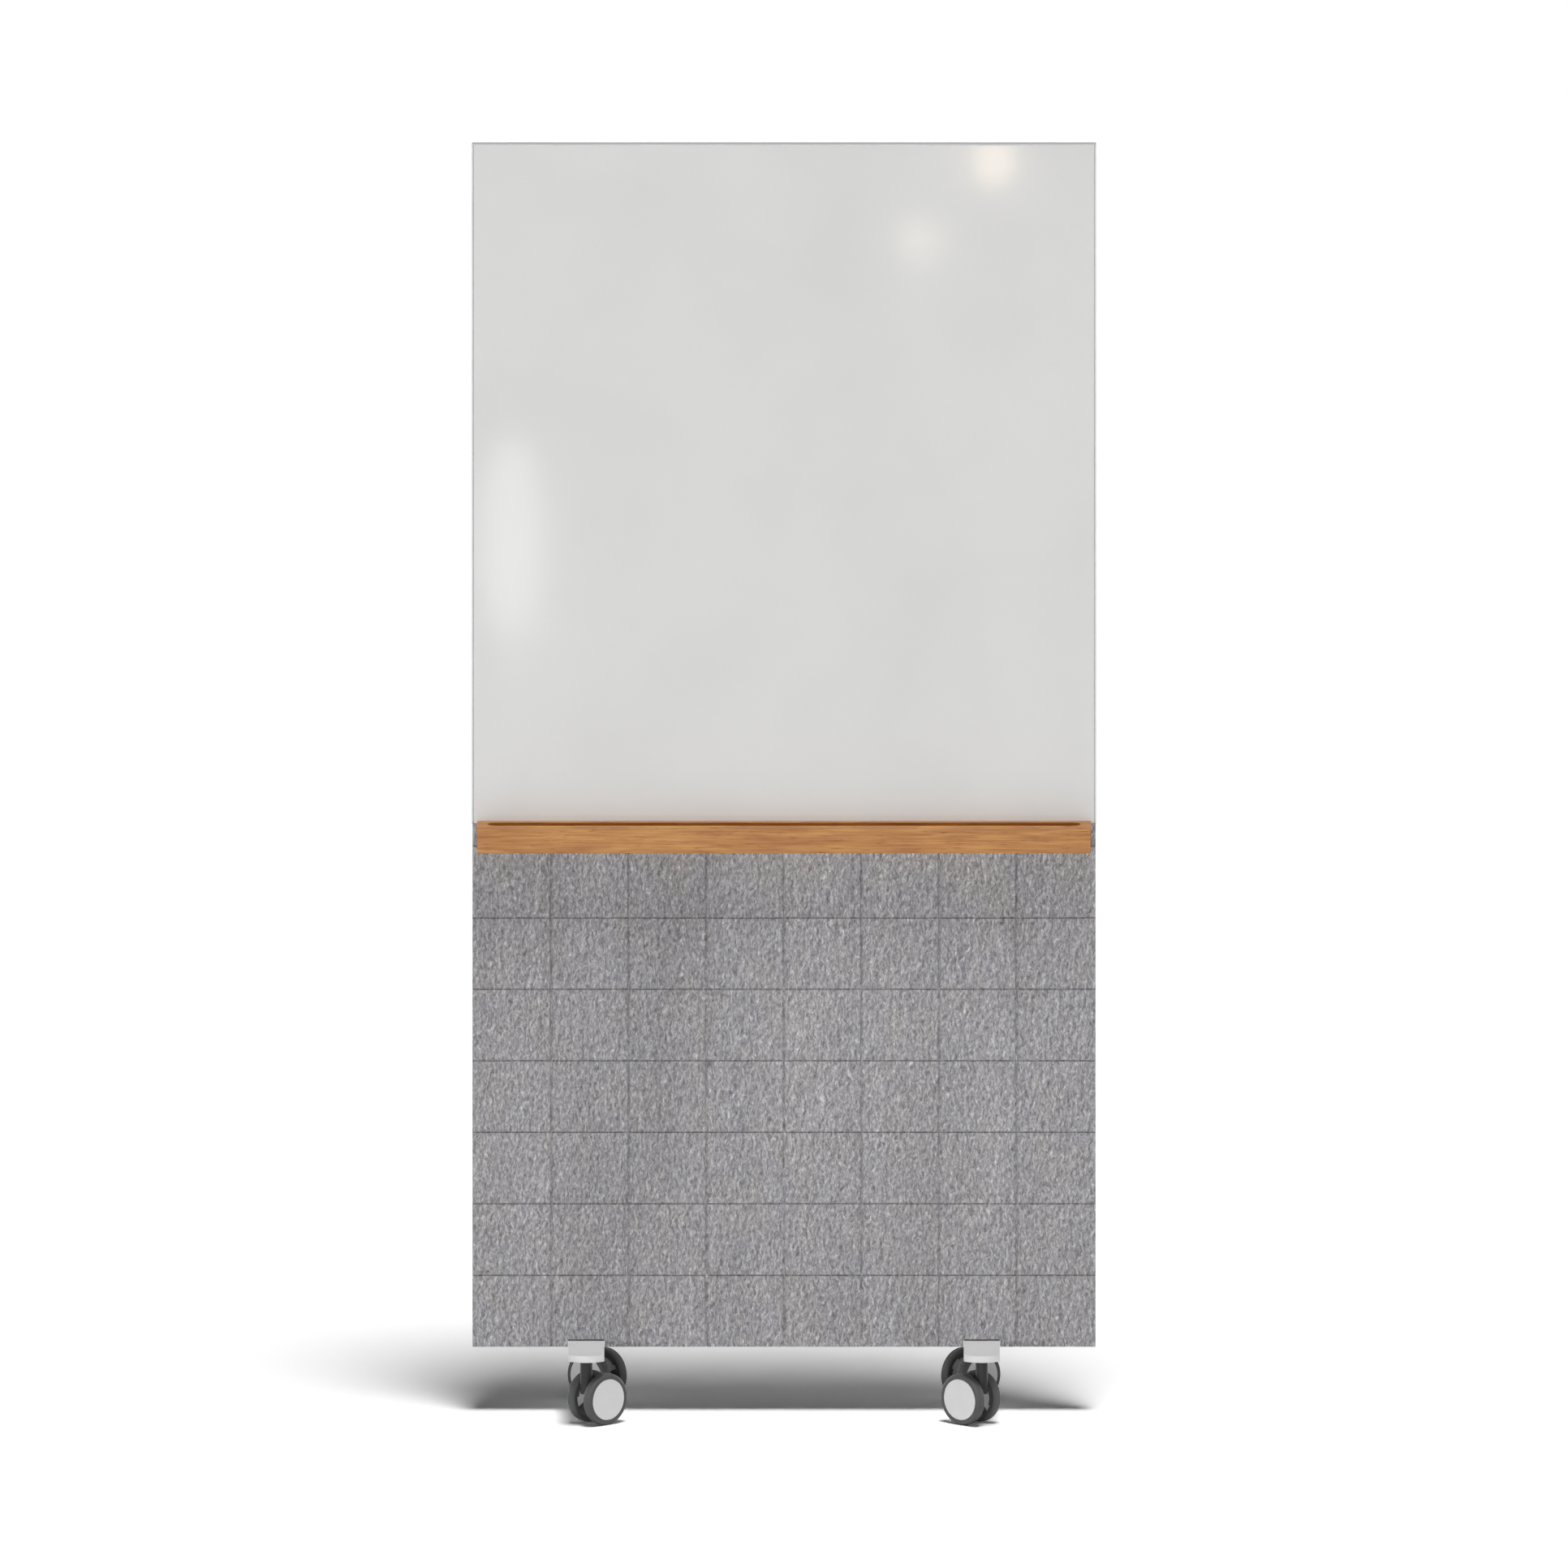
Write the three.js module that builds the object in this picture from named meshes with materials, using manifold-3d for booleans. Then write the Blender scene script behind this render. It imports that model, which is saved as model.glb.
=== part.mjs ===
// A mobile whiteboard partition. A glossy writing board stands above a grooved
// felt panel, both faced on each side of one thin frame. An oak pen ledge
// crosses the front at the joint, and two foot plates carry the panel on four
// twin-wheel castors.
// Millimetres, +Z up, the front faces -Y, and the origin is on the floor under
// the middle of the panel.
import * as THREE from "three";
import { mergeVertices } from "three/addons/utils/BufferGeometryUtils.js";
import Module from "manifold-3d";

const wasm = await Module();
wasm.setup();

// Fits shared by all pieces
const fitGap = 0.3; // left between pieces that meet or run in each other
const glueLine = 0.25; // adhesive film between the frame and its skins
const cutOverrun = 3; // how far a cutting tool runs past the face it opens
const weldDistance = 0.001; // corners closer than this are one corner

// Panel frame
const panelWidth = 900;
const frameDepth = 10;
const stileWidth = 40;
const topRailHeight = 40;
const bottomRailHeight = 40;
const midRailHeight = 64;

// Skins
const boardThickness = 4;
const boardHeight = 994.5;
const trimThickness = 1.2;
const feltThickness = 4;
const feltHeight = 768.35;
const feltInset = 1; // from the side of the panel to the felt's edge
const feltHang = 9.3; // how far the felt reaches below the bottom rail

// Grooves pressed into the felt
const grooveWidth = 2.6;
const grooveDepth = 1.5;
const columnPitch = 111.8; // between upright grooves, counted from the middle
const rowPitch = 105; // between level grooves, counted from the bottom edge
const grooveEdgeMargin = 12; // no groove runs closer than this to an edge

// Pen ledge
const ledgeInset = 7.5; // from the side of the panel to the end of the ledge
const ledgeDepth = 40;
const ledgeHeight = 40;
const ledgeRise = 3.5; // how far the ledge stands above the board's lower edge
const ledgeEdgeRadius = 1.5;
const trayRearRim = 9.3;
const trayFrontRim = 3.2;
const trayEndRim = 15.3;
const trayDepth = 12;
const ledgeScrewShank = 2; // radius
const ledgeScrewHead = 4; // radius
const ledgeScrewHeadHeight = 2.4;
const ledgeScrewBite = 22; // length held in the ledge
const ledgeScrewInset = 112.5; // from the end of the ledge to its outer screws

// Foot plates
const footInset = 165; // from the side of the panel to the middle of a plate
const footWidth = 52;
const footReach = 129; // from the panel's mid plane to the tip of a plate
const footTipRise = 11; // how far the curved tip stands out from its corners
const footThickness = 9.5;
const footNotchSide = 0.5; // room beside a plate in the felt's notch
const footNotchTop = 2.1; // room above a plate in the felt's notch
const footBoltShank = 2.5; // radius
const footBoltHead = 4.5; // radius
const footBoltHeadHeight = 2.7;
const footBoltBite = 14; // length held in the bottom rail
const footBoltSpacing = 26;

// Castors
const stemInset = 29; // from the tip of a plate to the middle of a stem
const castorTrail = 21; // from the swivel axis to the axle
const castorHeadroom = 21; // from the top of the wheels to the plate
const stemRadius = 5;
const stemEngagement = 33; // length of the stem inside the column
const stemThreadRadius = 4;
const stemThreadLength = 6.5;
const stemCollarRadius = 8.5;
const stemCollarHeight = 2.4;
const columnRadius = 8.75;
const columnRise = 8.5; // from the axle up to the foot of the column
const armThickness = 15.4;
const armBossRadius = 11;
const armRootHeight = 27; // height of the arm where it leaves the column
const axleRadius = 4;

// Wheels, measured along the axle from the wheel's inner face outwards
const wheelRadius = 37.5;
const wheelWidth = 15;
const wheelGap = 20; // between the two wheels of a castor
const tyreShoulder = 3; // rounding between tread and side
const tyreWall = 6.2; // radial thickness over the hub rim
const tyreLipWidth = 2.7; // the lips that hold the rim on both sides
const tyreInnerLipRadius = 25.6;
const coverRadius = 29.7;
const coverThickness = 2;
const coverEdge = 0.7; // chamfer round the face of the cover
const rimWall = 1.8;
const webSet = 8.4; // from the inner face to the web
const hubBossRadius = 9;

// Counts and angles
const castorToeDegrees = 41; // how far each castor is turned in from its plate
const wheelSides = 24;
const bodySides = 20;
const roundSides = 12;
const arcSteps = 8;
const cornerSteps = 3;
const fullTurn = 2 * Math.PI;

// Heights worked out from the floor up
const axleHeight = wheelRadius;
const footBottom = 2 * wheelRadius + castorHeadroom;
const footTop = footBottom + footThickness;
const frameBottom = footTop + fitGap;
const feltBottom = frameBottom - feltHang;
const feltTop = feltBottom + feltHeight;
const boardBottom = feltTop + fitGap;
const boardTop = boardBottom + boardHeight;
const frameHeight = boardTop - frameBottom;
const ledgeTop = boardBottom + ledgeRise;
const midRailMiddle = boardBottom;

// Widths and depths worked out from the frame
const boardWidth = panelWidth - 2 * (trimThickness + fitGap);
const feltWidth = panelWidth - 2 * feltInset;
const ledgeLength = panelWidth - 2 * ledgeInset;
const ledgeScrewSpacing = ledgeLength / 2 - ledgeScrewInset;
const footSpacing = panelWidth - 2 * footInset; // between the middles of the two plates
const stemSpacing = 2 * (footReach - stemInset); // between the two stems of a plate
const frameWidth = boardWidth;
const frameFace = frameDepth / 2;
const boardFace = frameFace + glueLine + boardThickness;
const feltFace = frameFace + glueLine + feltThickness;
const railLength = frameWidth - 2 * (stileWidth + fitGap);
const ledgeBack = Math.max(boardFace, feltFace) + fitGap;

const paints = {
  glossBoard: paint(0xdcdcdb, 0.12, 0),
  edgeTrim: paint(0x8f9092, 0.4, 0.6),
  felt: paint(0x97979c, 0.95, 0),
  oak: paint(0xa97444, 0.5, 0),
  frameBar: paint(0x37383a, 0.42, 0.6),
  coreBoard: paint(0xc9b48c, 0.9, 0),
  footEnamel: paint(0xe4e4e4, 0.4, 0),
  steel: paint(0x9a9a9c, 0.3, 1),
  stemSteel: paint(0x2b2b2d, 0.42, 0.8),
  castorNylon: paint(0x3b3b3c, 0.5, 0),
  tyreRubber: paint(0x57575a, 0.7, 0),
  hubPlastic: paint(0xb8b8b8, 0.5, 0),
  coverPlastic: paint(0xd6d6d6, 0.45, 0),
};

/** A plain material with a colour, a roughness and a metalness. */
function paint(color, roughness, metalness) {
  return new THREE.MeshStandardMaterial({ color, roughness, metalness });
}

/** The corner radius of a regular polygon whose flats lie at a radius. */
function overFlats(radius, sides) {
  return radius / Math.cos(Math.PI / sides);
}

/** A closed geometry as a solid that can be cut and joined. */
function solidOf(geometry) {
  const loose = geometry.index ? geometry.toNonIndexed() : geometry;
  const bare = new THREE.BufferGeometry();
  bare.setAttribute("position", loose.getAttribute("position"));
  const merged = mergeVertices(bare, weldDistance);
  const mesh = new wasm.Mesh({
    numProp: 3,
    vertProperties: merged.attributes.position.array,
    triVerts: new Uint32Array(merged.index.array),
  });
  return new wasm.Manifold(mesh);
}

/** A solid as a geometry that a mesh can show. */
function geometryOf(solid) {
  const mesh = solid.getMesh();
  const geometry = new THREE.BufferGeometry();
  geometry.setAttribute("position", new THREE.BufferAttribute(mesh.vertProperties, 3));
  geometry.setIndex(new THREE.BufferAttribute(mesh.triVerts, 1));
  return geometry.toNonIndexed();
}

/** A geometry with tools taken out of it. */
function cut(geometry, tools) {
  const solid = tools.reduce((left, tool) => left.subtract(solidOf(tool)), solidOf(geometry));
  return geometryOf(solid);
}

/** Two geometries joined into one body. */
function join(first, second) {
  return geometryOf(solidOf(first).add(solidOf(second)));
}

/** A block in the middle of x and y, standing on z = 0. */
function block(width, depth, height) {
  return new THREE.BoxGeometry(width, depth, height).translate(0, 0, height / 2);
}

/** A round bar along z that stands on z = 0, with its flats at the radius. */
function bar(radius, height, sides = roundSides) {
  const corner = overFlats(radius, sides);
  const round = new THREE.CylinderGeometry(corner, corner, height, sides);
  return round.rotateX(Math.PI / 2).translate(0, 0, height / 2);
}

/** A body turned about y from [radius, place along y] points, listed anticlockwise. */
function turnedAboutY(points, sides) {
  const profile = points.map(([radius, along]) => new THREE.Vector2(overFlats(radius, sides), along));
  return new THREE.LatheGeometry(profile, sides, Math.PI / sides, fullTurn);
}

/** The same, turned about z. */
function turnedAboutZ(points, sides) {
  return turnedAboutY(points, sides).rotateX(Math.PI / 2);
}

/** A shape through [x, y] points. */
function outline(points) {
  return new THREE.Shape(points.map(([x, y]) => new THREE.Vector2(x, y)));
}

/** A shape pushed up along z from z = 0. */
function pushedUp(shape, height) {
  return new THREE.ExtrudeGeometry(shape, { depth: height, bevelEnabled: false, curveSegments: arcSteps });
}

/** A shape drawn in z and y, pushed along x and centred on x = 0. */
function pushedAlong(shape, length, curveSegments = arcSteps) {
  const solid = new THREE.ExtrudeGeometry(shape, { depth: length, bevelEnabled: false, curveSegments });
  return solid.translate(0, 0, -length / 2).rotateY(-Math.PI / 2);
}

/** A shape drawn in x and z, pushed along y and centred on y = 0. */
function pushedAcross(shape, depth, curveSegments = arcSteps) {
  const solid = new THREE.ExtrudeGeometry(shape, { depth, bevelEnabled: false, curveSegments });
  return solid.translate(0, 0, -depth / 2).rotateX(Math.PI / 2);
}

/** Adds one named piece to a group. */
function addPiece(parent, name, geometry, material, x = 0, y = 0, z = 0) {
  const mesh = new THREE.Mesh(geometry, material);
  mesh.name = name;
  mesh.position.set(x, y, z);
  parent.add(mesh);
  return mesh;
}

/** The places of a row of grooves, each way from a start, inside two limits. */
function groovePlaces(pitch, start, lowest, highest) {
  const places = [];
  const first = Math.ceil((lowest - start) / pitch);
  for (let step = first; start + step * pitch <= highest; step += 1) {
    places.push(start + step * pitch);
  }
  return places;
}

/** A wedge section that opens a groove at a place along a felt's face. */
function grooveSection(place) {
  const mouth = ((grooveWidth / 2) * (grooveDepth + cutOverrun)) / grooveDepth;
  return outline([
    [place, grooveDepth - feltThickness],
    [place - mouth, -feltThickness - cutOverrun],
    [place + mouth, -feltThickness - cutOverrun],
  ]);
}

/** A felt sheet with its back on y = 0, its face towards -y and its foot on z = 0. */
function feltSheet() {
  const side = feltWidth / 2;
  const sheet = block(feltWidth, feltThickness, feltHeight).translate(0, -feltThickness / 2, 0);
  const columns = groovePlaces(columnPitch, 0, grooveEdgeMargin - side, side - grooveEdgeMargin);
  const rows = groovePlaces(rowPitch, 0, grooveEdgeMargin, feltHeight - grooveEdgeMargin);
  const upright = columns.map((x) =>
    pushedUp(grooveSection(x), feltHeight + 2 * cutOverrun).translate(0, 0, -cutOverrun));
  const level = rows.map((z) => pushedAlong(grooveSection(z), feltWidth + 2 * cutOverrun));
  const notchWidth = footWidth + 2 * footNotchSide;
  const notchHeight = footTop + footNotchTop - feltBottom + cutOverrun;
  const notches = [-1, 1].map((hand) =>
    block(notchWidth, 2 * (feltThickness + cutOverrun), notchHeight)
      .translate((hand * footSpacing) / 2, 0, -cutOverrun));
  return cut(sheet, [...upright, ...level, ...notches]);
}

/** A bar lying along y from y = 0 towards the front, at a place on the panel. */
function drillForward(radius, length, x, z) {
  return bar(radius, length).rotateX(Math.PI / 2).translate(x, 0, z);
}

/** Stiles, rails and cores: everything between the skins. */
function addFrame(parent) {
  const stile = block(stileWidth, frameDepth, frameHeight);
  const stileX = (frameWidth - stileWidth) / 2;
  addPiece(parent, "left_stile", stile, paints.frameBar, -stileX, 0, frameBottom);
  addPiece(parent, "right_stile", stile, paints.frameBar, stileX, 0, frameBottom);

  const topRail = block(railLength, frameDepth, topRailHeight);
  addPiece(parent, "top_rail", topRail, paints.frameBar, 0, 0, boardTop - topRailHeight);

  const midRailBottom = midRailMiddle - midRailHeight / 2;
  const screwHeight = ledgeTop - ledgeHeight / 2 - midRailBottom;
  const screwSeat = ledgeScrewHeadHeight + 2 * fitGap;
  const screwHoles = ledgeScrewPlaces().flatMap((x) => [
    drillForward(ledgeScrewShank + fitGap, frameDepth + 2 * cutOverrun, x, screwHeight)
      .translate(0, frameFace + cutOverrun, 0),
    drillForward(ledgeScrewHead + fitGap, screwSeat + cutOverrun, x, screwHeight)
      .translate(0, frameFace + cutOverrun, 0),
  ]);
  const midRail = cut(block(railLength, frameDepth, midRailHeight), screwHoles);
  addPiece(parent, "mid_rail", midRail, paints.frameBar, 0, 0, midRailBottom);

  const boltHoles = [-1, 1].flatMap((hand) => footBoltPlaces().map((x) =>
    bar(footBoltShank + fitGap, footBoltBite + fitGap + cutOverrun)
      .translate((hand * footSpacing) / 2 + x, 0, -cutOverrun)));
  const bottomRail = cut(block(railLength, frameDepth, bottomRailHeight), boltHoles);
  addPiece(parent, "bottom_rail", bottomRail, paints.frameBar, 0, 0, frameBottom);

  const lowerCoreBottom = frameBottom + bottomRailHeight + fitGap;
  const lowerCore = block(railLength, frameDepth, midRailBottom - fitGap - lowerCoreBottom);
  addPiece(parent, "lower_core", lowerCore, paints.coreBoard, 0, 0, lowerCoreBottom);
  const upperCoreBottom = midRailBottom + midRailHeight + fitGap;
  const upperCore = block(railLength, frameDepth, boardTop - topRailHeight - fitGap - upperCoreBottom);
  addPiece(parent, "upper_core", upperCore, paints.coreBoard, 0, 0, upperCoreBottom);
}

/** The writing boards, the felt sheets and the trim round the boards' edge. */
function addSkins(parent) {
  const board = block(boardWidth, boardThickness, boardHeight);
  const boardMiddle = frameFace + glueLine + boardThickness / 2;
  addPiece(parent, "front_board", board, paints.glossBoard, 0, -boardMiddle, boardBottom);
  addPiece(parent, "rear_board", board, paints.glossBoard, 0, boardMiddle, boardBottom);

  const sheet = feltSheet();
  const screwHeight = ledgeTop - ledgeHeight / 2 - feltBottom;
  const screwHoles = ledgeScrewPlaces().map((x) =>
    drillForward(ledgeScrewShank + fitGap, feltThickness + 2 * cutOverrun, x, screwHeight)
      .translate(0, cutOverrun, 0));
  const feltBack = frameFace + glueLine;
  addPiece(parent, "front_felt", cut(sheet, screwHoles), paints.felt, 0, -feltBack, feltBottom);
  addPiece(parent, "rear_felt", sheet, paints.felt, 0, feltBack, feltBottom).rotation.z = Math.PI;

  const sideTrim = block(trimThickness, 2 * boardFace, boardHeight);
  const sideTrimX = (panelWidth - trimThickness) / 2;
  addPiece(parent, "edge_trim_left", sideTrim, paints.edgeTrim, -sideTrimX, 0, boardBottom);
  addPiece(parent, "edge_trim_right", sideTrim, paints.edgeTrim, sideTrimX, 0, boardBottom);
  const topTrim = block(panelWidth, 2 * boardFace, trimThickness);
  addPiece(parent, "edge_trim_top", topTrim, paints.edgeTrim, 0, 0, boardTop + fitGap);
}

/** Where the ledge's screws stand along the panel. */
function ledgeScrewPlaces() {
  return [-ledgeScrewSpacing, 0, ledgeScrewSpacing];
}

/** Where a foot plate's bolts stand across it. */
function footBoltPlaces() {
  return [-footBoltSpacing / 2, footBoltSpacing / 2];
}

/** The oak ledge with its routed tray, and the screws that hold it. */
function addLedge(parent) {
  const section = new THREE.Shape();
  const radius = ledgeEdgeRadius;
  section.absarc(radius, -radius, radius, Math.PI, Math.PI / 2, true);
  section.absarc(ledgeHeight - radius, -radius, radius, Math.PI / 2, 0, true);
  section.absarc(ledgeHeight - radius, radius - ledgeDepth, radius, 0, -Math.PI / 2, true);
  section.absarc(radius, radius - ledgeDepth, radius, -Math.PI / 2, -Math.PI, true);
  const stick = pushedAlong(section, ledgeLength, cornerSteps);

  const trayEnd = (ledgeDepth - trayRearRim - trayFrontRim) / 2;
  const trayReach = ledgeLength / 2 - trayEndRim - trayEnd;
  const trayMiddle = trayFrontRim + trayEnd - ledgeDepth;
  const tray = new THREE.Shape();
  tray.absarc(trayReach, trayMiddle, trayEnd, -Math.PI / 2, Math.PI / 2, false);
  tray.absarc(-trayReach, trayMiddle, trayEnd, Math.PI / 2, -Math.PI / 2, false);
  const trayTool = pushedUp(tray, trayDepth + cutOverrun).translate(0, 0, ledgeHeight - trayDepth);
  const screwHoles = ledgeScrewPlaces().map((x) =>
    drillForward(ledgeScrewShank + fitGap, ledgeScrewBite + fitGap + cutOverrun, x, ledgeHeight / 2)
      .translate(0, cutOverrun, 0));
  const ledge = cut(stick, [trayTool, ...screwHoles]);
  addPiece(parent, "pen_ledge", ledge, paints.oak, 0, -ledgeBack, ledgeTop - ledgeHeight);

  const headBack = frameFace - fitGap;
  const screwEnd = headBack + ledgeBack + ledgeScrewBite;
  const screw = turnedAboutZ([
    [0, 0],
    [ledgeScrewHead, 0],
    [ledgeScrewHead, ledgeScrewHeadHeight],
    [ledgeScrewShank, ledgeScrewHeadHeight],
    [ledgeScrewShank, screwEnd],
    [0, screwEnd],
  ], roundSides).rotateX(Math.PI / 2);
  const names = ["ledge_screw_left", "ledge_screw_middle", "ledge_screw_right"];
  ledgeScrewPlaces().forEach((x, index) => {
    addPiece(parent, names[index], screw, paints.steel, x, headBack, ledgeTop - ledgeHeight / 2);
  });
}

/** A foot plate with curved tips, blind holes for the stems and sunk bolt holes. */
function footPlate() {
  const half = footWidth / 2;
  const cornerReach = footReach - footTipRise;
  const tipRadius = (half * half + footTipRise * footTipRise) / (2 * footTipRise);
  const tipAngle = Math.asin(half / tipRadius);
  const centre = footReach - tipRadius;
  const shape = new THREE.Shape();
  shape.moveTo(half, -cornerReach);
  shape.absarc(0, centre, tipRadius, Math.PI / 2 - tipAngle, Math.PI / 2 + tipAngle, false);
  shape.absarc(0, -centre, tipRadius, -Math.PI / 2 - tipAngle, -Math.PI / 2 + tipAngle, false);
  const threadHoles = [-1, 1].map((end) =>
    bar(stemThreadRadius + fitGap, stemThreadLength + cutOverrun)
      .translate(0, (end * stemSpacing) / 2, -cutOverrun));
  const boltHoles = footBoltPlaces().flatMap((x) => [
    bar(footBoltShank + fitGap, footThickness + 2 * cutOverrun).translate(x, 0, -cutOverrun),
    bar(footBoltHead + fitGap, footBoltHeadHeight + 2 * fitGap + cutOverrun).translate(x, 0, -cutOverrun),
  ]);
  return cut(pushedUp(shape, footThickness), [...threadHoles, ...boltHoles]);
}

/** Both foot plates and the bolts that hold them to the bottom rail. */
function addFeet(parent) {
  const plate = footPlate();
  const boltLength = footThickness + footBoltBite;
  const bolt = turnedAboutZ([
    [0, 0],
    [footBoltHead, 0],
    [footBoltHead, footBoltHeadHeight],
    [footBoltShank, footBoltHeadHeight],
    [footBoltShank, boltLength],
    [0, boltLength],
  ], roundSides);
  for (const [side, hand] of [["left", -1], ["right", 1]]) {
    const x = (hand * footSpacing) / 2;
    addPiece(parent, `${side}_foot_plate`, plate, paints.footEnamel, x, 0, footBottom);
    footBoltPlaces().forEach((place, index) => {
      const name = `${side}_foot_bolt_${index + 1}`;
      addPiece(parent, name, bolt, paints.steel, x + place, 0, footBottom + fitGap);
    });
  }
}

/** The tyre: tread, rounded shoulders, and lips that clasp the hub's rim. */
function tyreGeometry() {
  const bore = wheelRadius - tyreWall;
  const shoulder = (index) => (index / (cornerSteps - 1)) * (Math.PI / 2);
  const steps = [...Array(cornerSteps).keys()].map(shoulder);
  const innerShoulder = steps.map((angle) => [
    wheelRadius - tyreShoulder * (1 - Math.sin(angle)),
    tyreShoulder * (1 - Math.cos(angle)),
  ]);
  const outerShoulder = steps.map((angle) => [
    wheelRadius - tyreShoulder * (1 - Math.cos(angle)),
    wheelWidth - tyreShoulder * (1 - Math.sin(angle)),
  ]);
  return turnedAboutY([
    [tyreInnerLipRadius, 0],
    ...innerShoulder,
    ...outerShoulder,
    [coverRadius + fitGap, wheelWidth],
    [coverRadius + fitGap, wheelWidth - coverThickness],
    [bore, wheelWidth - coverThickness],
    [bore, tyreLipWidth],
    [tyreInnerLipRadius, tyreLipWidth],
    [tyreInnerLipRadius, 0],
  ], wheelSides);
}

/** The hub: a boss on the axle, a web and a rim under the tyre. */
function hubGeometry() {
  const bore = axleRadius + fitGap;
  const bossStart = (armThickness - wheelGap) / 2 + fitGap;
  const rim = wheelRadius - tyreWall - fitGap;
  const hubEnd = wheelWidth - coverThickness - fitGap;
  return turnedAboutY([
    [bore, bossStart],
    [hubBossRadius, bossStart],
    [hubBossRadius, webSet],
    [rim - rimWall, webSet],
    [rim - rimWall, tyreLipWidth + fitGap],
    [rim, tyreLipWidth + fitGap],
    [rim, hubEnd],
    [bore, hubEnd],
    [bore, bossStart],
  ], wheelSides);
}

/** The flat cover set in the wheel's outer face. */
function coverGeometry() {
  return turnedAboutY([
    [0, wheelWidth - coverThickness],
    [coverRadius, wheelWidth - coverThickness],
    [coverRadius, wheelWidth - coverEdge],
    [coverRadius - coverEdge, wheelWidth],
    [0, wheelWidth],
  ], wheelSides);
}

/** The castor's body: a column round the stem and an arm out to the axle. */
function castorBody(columnTop) {
  const columnFoot = axleHeight + columnRise;
  const column = bar(columnRadius, columnTop - columnFoot, bodySides).translate(0, 0, columnFoot);
  const link = pushedAcross(outline([
    [0, columnFoot],
    [castorTrail, axleHeight - armBossRadius],
    [castorTrail + armBossRadius, axleHeight],
    [columnRadius, columnFoot + armRootHeight],
    [0, columnFoot + armRootHeight],
  ]), armThickness);
  const boss = acrossAxle(armBossRadius, armThickness, bodySides);
  const stemRoomDepth = stemEngagement + fitGap;
  const stemRoom = bar(stemRadius + fitGap, stemRoomDepth + cutOverrun)
    .translate(0, 0, columnTop - stemRoomDepth);
  const axleRoom = acrossAxle(axleRadius + fitGap, armThickness + 2 * cutOverrun, roundSides);
  return cut(join(join(column, link), boss), [stemRoom, axleRoom]);
}

/** A round bar on a castor's axle line, centred between its wheels. */
function acrossAxle(radius, length, sides) {
  return bar(radius, length, sides).translate(0, 0, -length / 2)
    .rotateX(Math.PI / 2).translate(castorTrail, 0, axleHeight);
}

/** One castor: stem, body, axle and two wheels, with its wheels trailing along local x. */
function makeCastor(name, shapes) {
  const castor = new THREE.Group();
  addPiece(castor, `${name}_stem`, shapes.stem, paints.stemSteel);
  addPiece(castor, `${name}_body`, shapes.body, paints.castorNylon);
  addPiece(castor, `${name}_axle`, shapes.axle, paints.steel);
  for (const [side, turn] of [["right", 0], ["left", Math.PI]]) {
    const hand = new THREE.Group();
    hand.position.set(castorTrail, 0, axleHeight);
    hand.rotation.z = turn;
    const wheel = new THREE.Group();
    wheel.position.y = wheelGap / 2;
    addPiece(wheel, `${name}_${side}_tyre`, shapes.tyre, paints.tyreRubber);
    addPiece(wheel, `${name}_${side}_hub`, shapes.hub, paints.hubPlastic);
    addPiece(wheel, `${name}_${side}_cover`, shapes.cover, paints.coverPlastic);
    hand.add(wheel);
    castor.add(hand);
  }
  return castor;
}

/** The four castors, each turned in the same angle towards the panel's middle. */
function addCastors(parent) {
  const collarTop = footBottom - fitGap;
  const collarBottom = collarTop - stemCollarHeight;
  const columnTop = collarBottom - fitGap;
  const stem = turnedAboutZ([
    [0, columnTop - stemEngagement],
    [stemRadius, columnTop - stemEngagement],
    [stemRadius, collarBottom],
    [stemCollarRadius, collarBottom],
    [stemCollarRadius, collarTop],
    [stemThreadRadius, collarTop],
    [stemThreadRadius, collarTop + stemThreadLength],
    [0, collarTop + stemThreadLength],
  ], roundSides);
  const axleLength = wheelGap + 2 * (wheelWidth - coverThickness - fitGap);
  const shapes = {
    stem,
    body: castorBody(columnTop),
    axle: acrossAxle(axleRadius, axleLength, roundSides),
    tyre: tyreGeometry(),
    hub: hubGeometry(),
    cover: coverGeometry(),
  };
  const toe = THREE.MathUtils.degToRad(castorToeDegrees);
  const corners = [
    ["front_left_castor", -1, -1, toe],
    ["front_right_castor", 1, -1, Math.PI - toe],
    ["rear_left_castor", -1, 1, -toe],
    ["rear_right_castor", 1, 1, Math.PI + toe],
  ];
  for (const [name, hand, end, heading] of corners) {
    const castor = makeCastor(name, shapes);
    castor.position.set((hand * footSpacing) / 2, (end * stemSpacing) / 2, 0);
    castor.rotation.z = heading;
    parent.add(castor);
  }
}

const whiteboard = new THREE.Group();
addFrame(whiteboard);
addSkins(whiteboard);
addLedge(whiteboard);
addFeet(whiteboard);
addCastors(whiteboard);

export default whiteboard;
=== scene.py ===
"""Looks of a mobile whiteboard: writing board, felt, oak ledge and twin-wheel castors.

Everything is in metres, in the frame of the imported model: +Z is up, the front faces -Y, and the
origin is on the floor under the middle of the panel.
"""

import logging
import math
from contextlib import contextmanager
from dataclasses import dataclass
from enum import Enum
from typing import Any, Callable, Iterator, Optional, Sequence

import bmesh
import bpy
from mathutils import Matrix, Vector

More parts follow.
